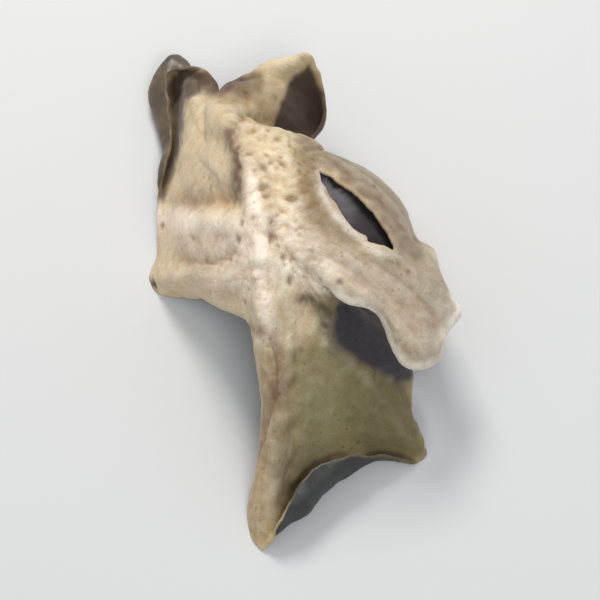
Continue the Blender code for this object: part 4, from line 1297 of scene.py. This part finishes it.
def round_rim(fine, outer, inner, loop, start):
    """Rows of points that round the rim from the outer skin to the inner one, new ones from start on."""
    middle, half = (outer[loop] + inner[loop]) / 2, (outer[loop] - inner[loop]) / 2
    away = fine.outward(loop) * np.linalg.norm(half, axis=1, keepdims=True)
    turns = [math.pi * k / RIM_STEPS for k in range(1, RIM_STEPS)]
    points = [middle + half * math.cos(turn) + away * math.sin(turn) for turn in turns]
    fresh = start + np.arange(len(loop) * len(turns)).reshape(len(turns), -1)
    return points, [loop, *fresh, loop + len(outer)]


def build_skin(fine):
    """The whole closed body as one mesh, with its paint and the rays that its streaks follow."""
    outer, inner = fine.skins()
    count = len(outer)
    points = [outer, inner]
    faces = [fine.triangles, fine.triangles[:, ::-1] + count]
    slots = [np.zeros(len(fine.triangles), int), np.ones(len(fine.triangles), int)]
    source = [np.arange(2 * count)]
    for loop in map(np.array, fine.loops):
        rim_points, rows = round_rim(fine, outer, inner, loop, sum(map(len, points)))
        points += rim_points
        source += [loop] * len(rim_points)
        for k, (near, far) in enumerate(zip(rows, rows[1:])):
            near_next, far_next = np.roll(near, -1), np.roll(far, -1)
            faces.append(np.stack([near_next, near, far], axis=1))
            faces.append(np.stack([near_next, far, far_next], axis=1))
            slots += [np.full(len(loop), int(k == RIM_STEPS - 1))] * 2
    mesh = bpy.data.meshes.new("wood_ear_skin")
    mesh.from_pydata((np.concatenate(points) + fine.shift) * MM, [], np.concatenate(faces).tolist())
    mesh.polygons.foreach_set("material_index", np.concatenate(slots))
    source = np.concatenate(source)
    colour = np.concatenate([painted(fine, outer), painted_inside(fine)])[source]
    source = source % count
    paint = mesh.attributes.new("paint", "FLOAT_COLOR", "POINT")
    paint.data.foreach_set("color", np.column_stack([colour, 1 - fine.calm[source]]).ravel())
    rays = mesh.attributes.new("rays", "FLOAT_VECTOR", "POINT")
    rays.data.foreach_set("vector", (fine.rays[source] * MM * (1, 1, RAY_STRETCH)).ravel())
    return mesh


def cut_feet(mesh):
    """Cuts the mesh off level with the floor, as the solid is."""
    body = bmesh.new()
    body.from_mesh(mesh)
    everything = [*body.verts, *body.edges, *body.faces]
    bmesh.ops.bisect_plane(
        body, geom=everything, dist=1e-7, plane_co=(0, 0, 0), plane_no=(0, 0, 1), clear_inner=True)
    open_edges = [e for e in body.edges if len(e.link_faces) == 1]
    made = bmesh.ops.triangle_fill(body, use_beauty=True, edges=open_edges, normal=(0, 0, -1))
    for face in made["geom"]:
        if isinstance(face, bmesh.types.BMFace):
            face.material_index = 1
    bmesh.ops.recalc_face_normals(body, faces=list(body.faces))
    body.to_mesh(mesh)
    body.free()
    for polygon in mesh.polygons:
        polygon.use_smooth = True


class Nodes:
    """Short ways to add nodes to a material."""

    def __init__(self, name):
        self.material = bpy.data.materials.new(name)
        self.material.use_nodes = True
        self.tree = self.material.node_tree
        self.shader = self.tree.nodes["Principled BSDF"]

    def feed(self, node, inputs):
        """Sets a node's inputs, named or numbered, to values, or links them to other nodes' outputs."""
        for key, value in inputs.items():
            if isinstance(value, bpy.types.NodeSocket):
                self.tree.links.new(value, node.inputs[key])
            else:
                node.inputs[key].default_value = value

    def add(self, kind, inputs, **settings):
        """The outputs of a new node."""
        node = self.tree.nodes.new(kind)
        for name, value in settings.items():
            setattr(node, name, value)
        self.feed(node, inputs)
        return node.outputs

    def attribute(self, name):
        return self.add("ShaderNodeAttribute", {}, attribute_name=name)

    def ramp(self, factor, low, high, bottom=0.0, top=1.0):
        """factor spread from low..high to bottom..top, and held there outside it."""
        inputs = {"Value": factor, "From Min": low, "From Max": high, "To Min": bottom, "To Max": top}
        return self.add("ShaderNodeMapRange", inputs, interpolation_type="SMOOTHSTEP")["Result"]

    def product(self, a, b):
        return self.add("ShaderNodeMath", {0: a, 1: b}, operation="MULTIPLY")[0]

    def tint(self, colour, tone, amount):
        """A colour multiplied by a tone, by an amount."""
        inputs = {0: amount, 6: colour, 7: (*tone, 1)}
        return self.add("ShaderNodeMix", inputs, data_type="RGBA", blend_type="MULTIPLY")[2]

    def noise(self, place, scale, detail=3.0, roughness=0.55):
        inputs = {"Vector": place, "Scale": scale, "Detail": detail, "Roughness": roughness}
        return self.add("ShaderNodeTexNoise", inputs)["Fac"]

    def bump(self, *layers):
        """A normal from layers of bumps: height, strength and distance of each."""
        normal = None
        for height, strength, distance in layers:
            inputs = {"Height": height, "Strength": strength, "Distance": distance}
            if normal:
                inputs["Normal"] = normal
            normal = self.add("ShaderNodeBump", inputs)["Normal"]
        return normal


def outside_material():
    """Pale suede-like skin: a felt of short nap with fine streaks, specks and dark pores."""
    made = Nodes("wood_ear_outside")
    place = made.add("ShaderNodeTexCoord", {})["Object"]
    paint = made.attribute("paint")
    colour, rough = paint["Color"], paint["Alpha"]
    felt = made.noise(place, 1900, 5.0, 0.7)
    grain = made.noise(place, 4200, 3.0, 0.6)
    blotches = made.noise(place, 330, 4.0, 0.6)
    streaks = made.noise(made.attribute("rays")["Vector"], 950, 4.0, 0.6)
    colour = made.tint(colour, (0.80, 0.74, 0.66), made.product(made.ramp(blotches, 0.38, 0.68), rough))
    colour = made.tint(colour, (0.72, 0.62, 0.52), made.product(made.ramp(streaks, 0.5, 0.72, 0, 0.5), rough))
    colour = made.tint(colour, (1.16, 1.15, 1.12), made.ramp(felt, 0.5, 0.72, 0, 0.7))
    colour = made.tint(colour, (0.78, 0.74, 0.68), made.ramp(felt, 0.5, 0.3, 0, 0.7))
    colour = made.tint(colour, (0.82, 0.78, 0.72), made.ramp(grain, 0.52, 0.35, 0, 0.5))
    dots = made.add("ShaderNodeTexVoronoi", {"Vector": place, "Scale": 620})["Distance"]
    pores = made.product(made.ramp(dots, 0.22, 0.08), made.ramp(made.noise(place, 200, 2.0), 0.5, 0.62))
    made.feed(made.shader, {
        "Base Color": made.tint(colour, (0.42, 0.33, 0.28), made.product(pores, 0.6)),
        "Normal": made.bump(
            (made.product(streaks, rough), 0.18, 0.0004), (blotches, 0.2, 0.0004), (felt, 0.7, 0.00018),
            (grain, 0.4, 0.00008), (pores, -0.4, 0.0002)),
        "Roughness": made.ramp(felt, 0.3, 0.7, 0.78, 0.95),
        "Specular IOR Level": 0.25,
        "Sheen Weight": 0.25,
        "Sheen Roughness": 0.45,
        "Sheen Tint": (1.0, 0.95, 0.88, 1),
    })
    return made.material


def inside_material():
    """Smooth near-black skin with a dull satin shine, finely wrinkled."""
    made = Nodes("wood_ear_inside")
    place = made.add("ShaderNodeTexCoord", {})["Object"]
    blotches = made.noise(place, 160, 4.0, 0.6)
    grain = made.noise(place, 1300, 3.0, 0.6)
    streaks = made.noise(made.attribute("rays")["Vector"], 700, 3.0, 0.5)
    colour = made.tint(made.attribute("paint")["Color"], (0.55, 0.52, 0.52), made.ramp(blotches, 0.35, 0.7))
    made.feed(made.shader, {
        "Base Color": made.tint(colour, (1.6, 1.5, 1.6), made.ramp(streaks, 0.55, 0.75, 0, 0.5)),
        "Normal": made.bump((streaks, 0.35, 0.0005), (grain, 0.25, 0.0001)),
        "Roughness": made.ramp(blotches, 0.3, 0.7, 0.34, 0.52),
        "Specular IOR Level": 0.5,
    })
    return made.material


def place_object(name, data):
    """A new object in the scene."""
    obj = bpy.data.objects.new(name, data)
    bpy.context.scene.collection.objects.link(obj)
    return obj


def make_wood_ear():
    mesh = build_skin(FineSheet())
    cut_feet(mesh)
    mesh.materials.append(outside_material())
    mesh.materials.append(inside_material())
    obj = place_object("wood_ear_looks", mesh)
    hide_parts("wood_ear")
    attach(obj, "root")


def make_floor():
    """A plain pale floor."""
    mesh = bpy.data.meshes.new("floor")
    corners = [(-1, -1), (1, -1), (1, 1), (-1, 1)]
    corners = [(x * FLOOR_SIZE / 2, y * FLOOR_SIZE / 2, FLOOR_LEVEL) for x, y in corners]
    mesh.from_pydata(corners, [], [(0, 1, 2, 3)])
    made = Nodes("floor")
    made.feed(made.shader, {"Base Color": (*linear(FLOOR_COLOUR), 1), "Roughness": 0.9})
    mesh.materials.append(made.material)
    place_object("floor", mesh)


def make_lights():
    """A pale sky and square lamps, turned to the object."""
    world = bpy.data.worlds.new("studio")
    world.use_nodes = True
    world.node_tree.nodes["Background"].inputs["Color"].default_value = SKY
    world.node_tree.nodes["Background"].inputs["Strength"].default_value = SKY_STRENGTH
    bpy.context.scene.world = world
    for lamp in LAMPS:
        light = bpy.data.lights.new(lamp.name, "AREA")
        light.size = lamp.size
        light.energy = lamp.power
        light.color = lamp.colour
        obj = place_object(lamp.name, light)
        obj.location = lamp.place
        obj.rotation_euler = (Vector(TARGET) - Vector(lamp.place)).to_track_quat("-Z", "Y").to_euler()


def make_camera():
    """Looks down on the mushroom as the photo does."""
    camera = bpy.data.cameras.new("camera")
    camera.lens = LENS
    camera.clip_start = 0.01
    obj = place_object("camera", camera)
    away = FRAME_HEIGHT / 2 / math.tan(math.atan(camera.sensor_width / 2 / LENS))
    back = Vector((0, -math.cos(VIEW_ELEVATION), math.sin(VIEW_ELEVATION)))
    obj.location = Vector(TARGET) + back * away
    obj.rotation_euler = (-back).to_track_quat("-Z", "Y").to_euler()
    bpy.context.scene.camera = obj


def main():
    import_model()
    make_wood_ear()
    make_floor()
    make_lights()
    make_camera()
    bpy.context.scene.view_settings.view_transform = "Standard"


main()
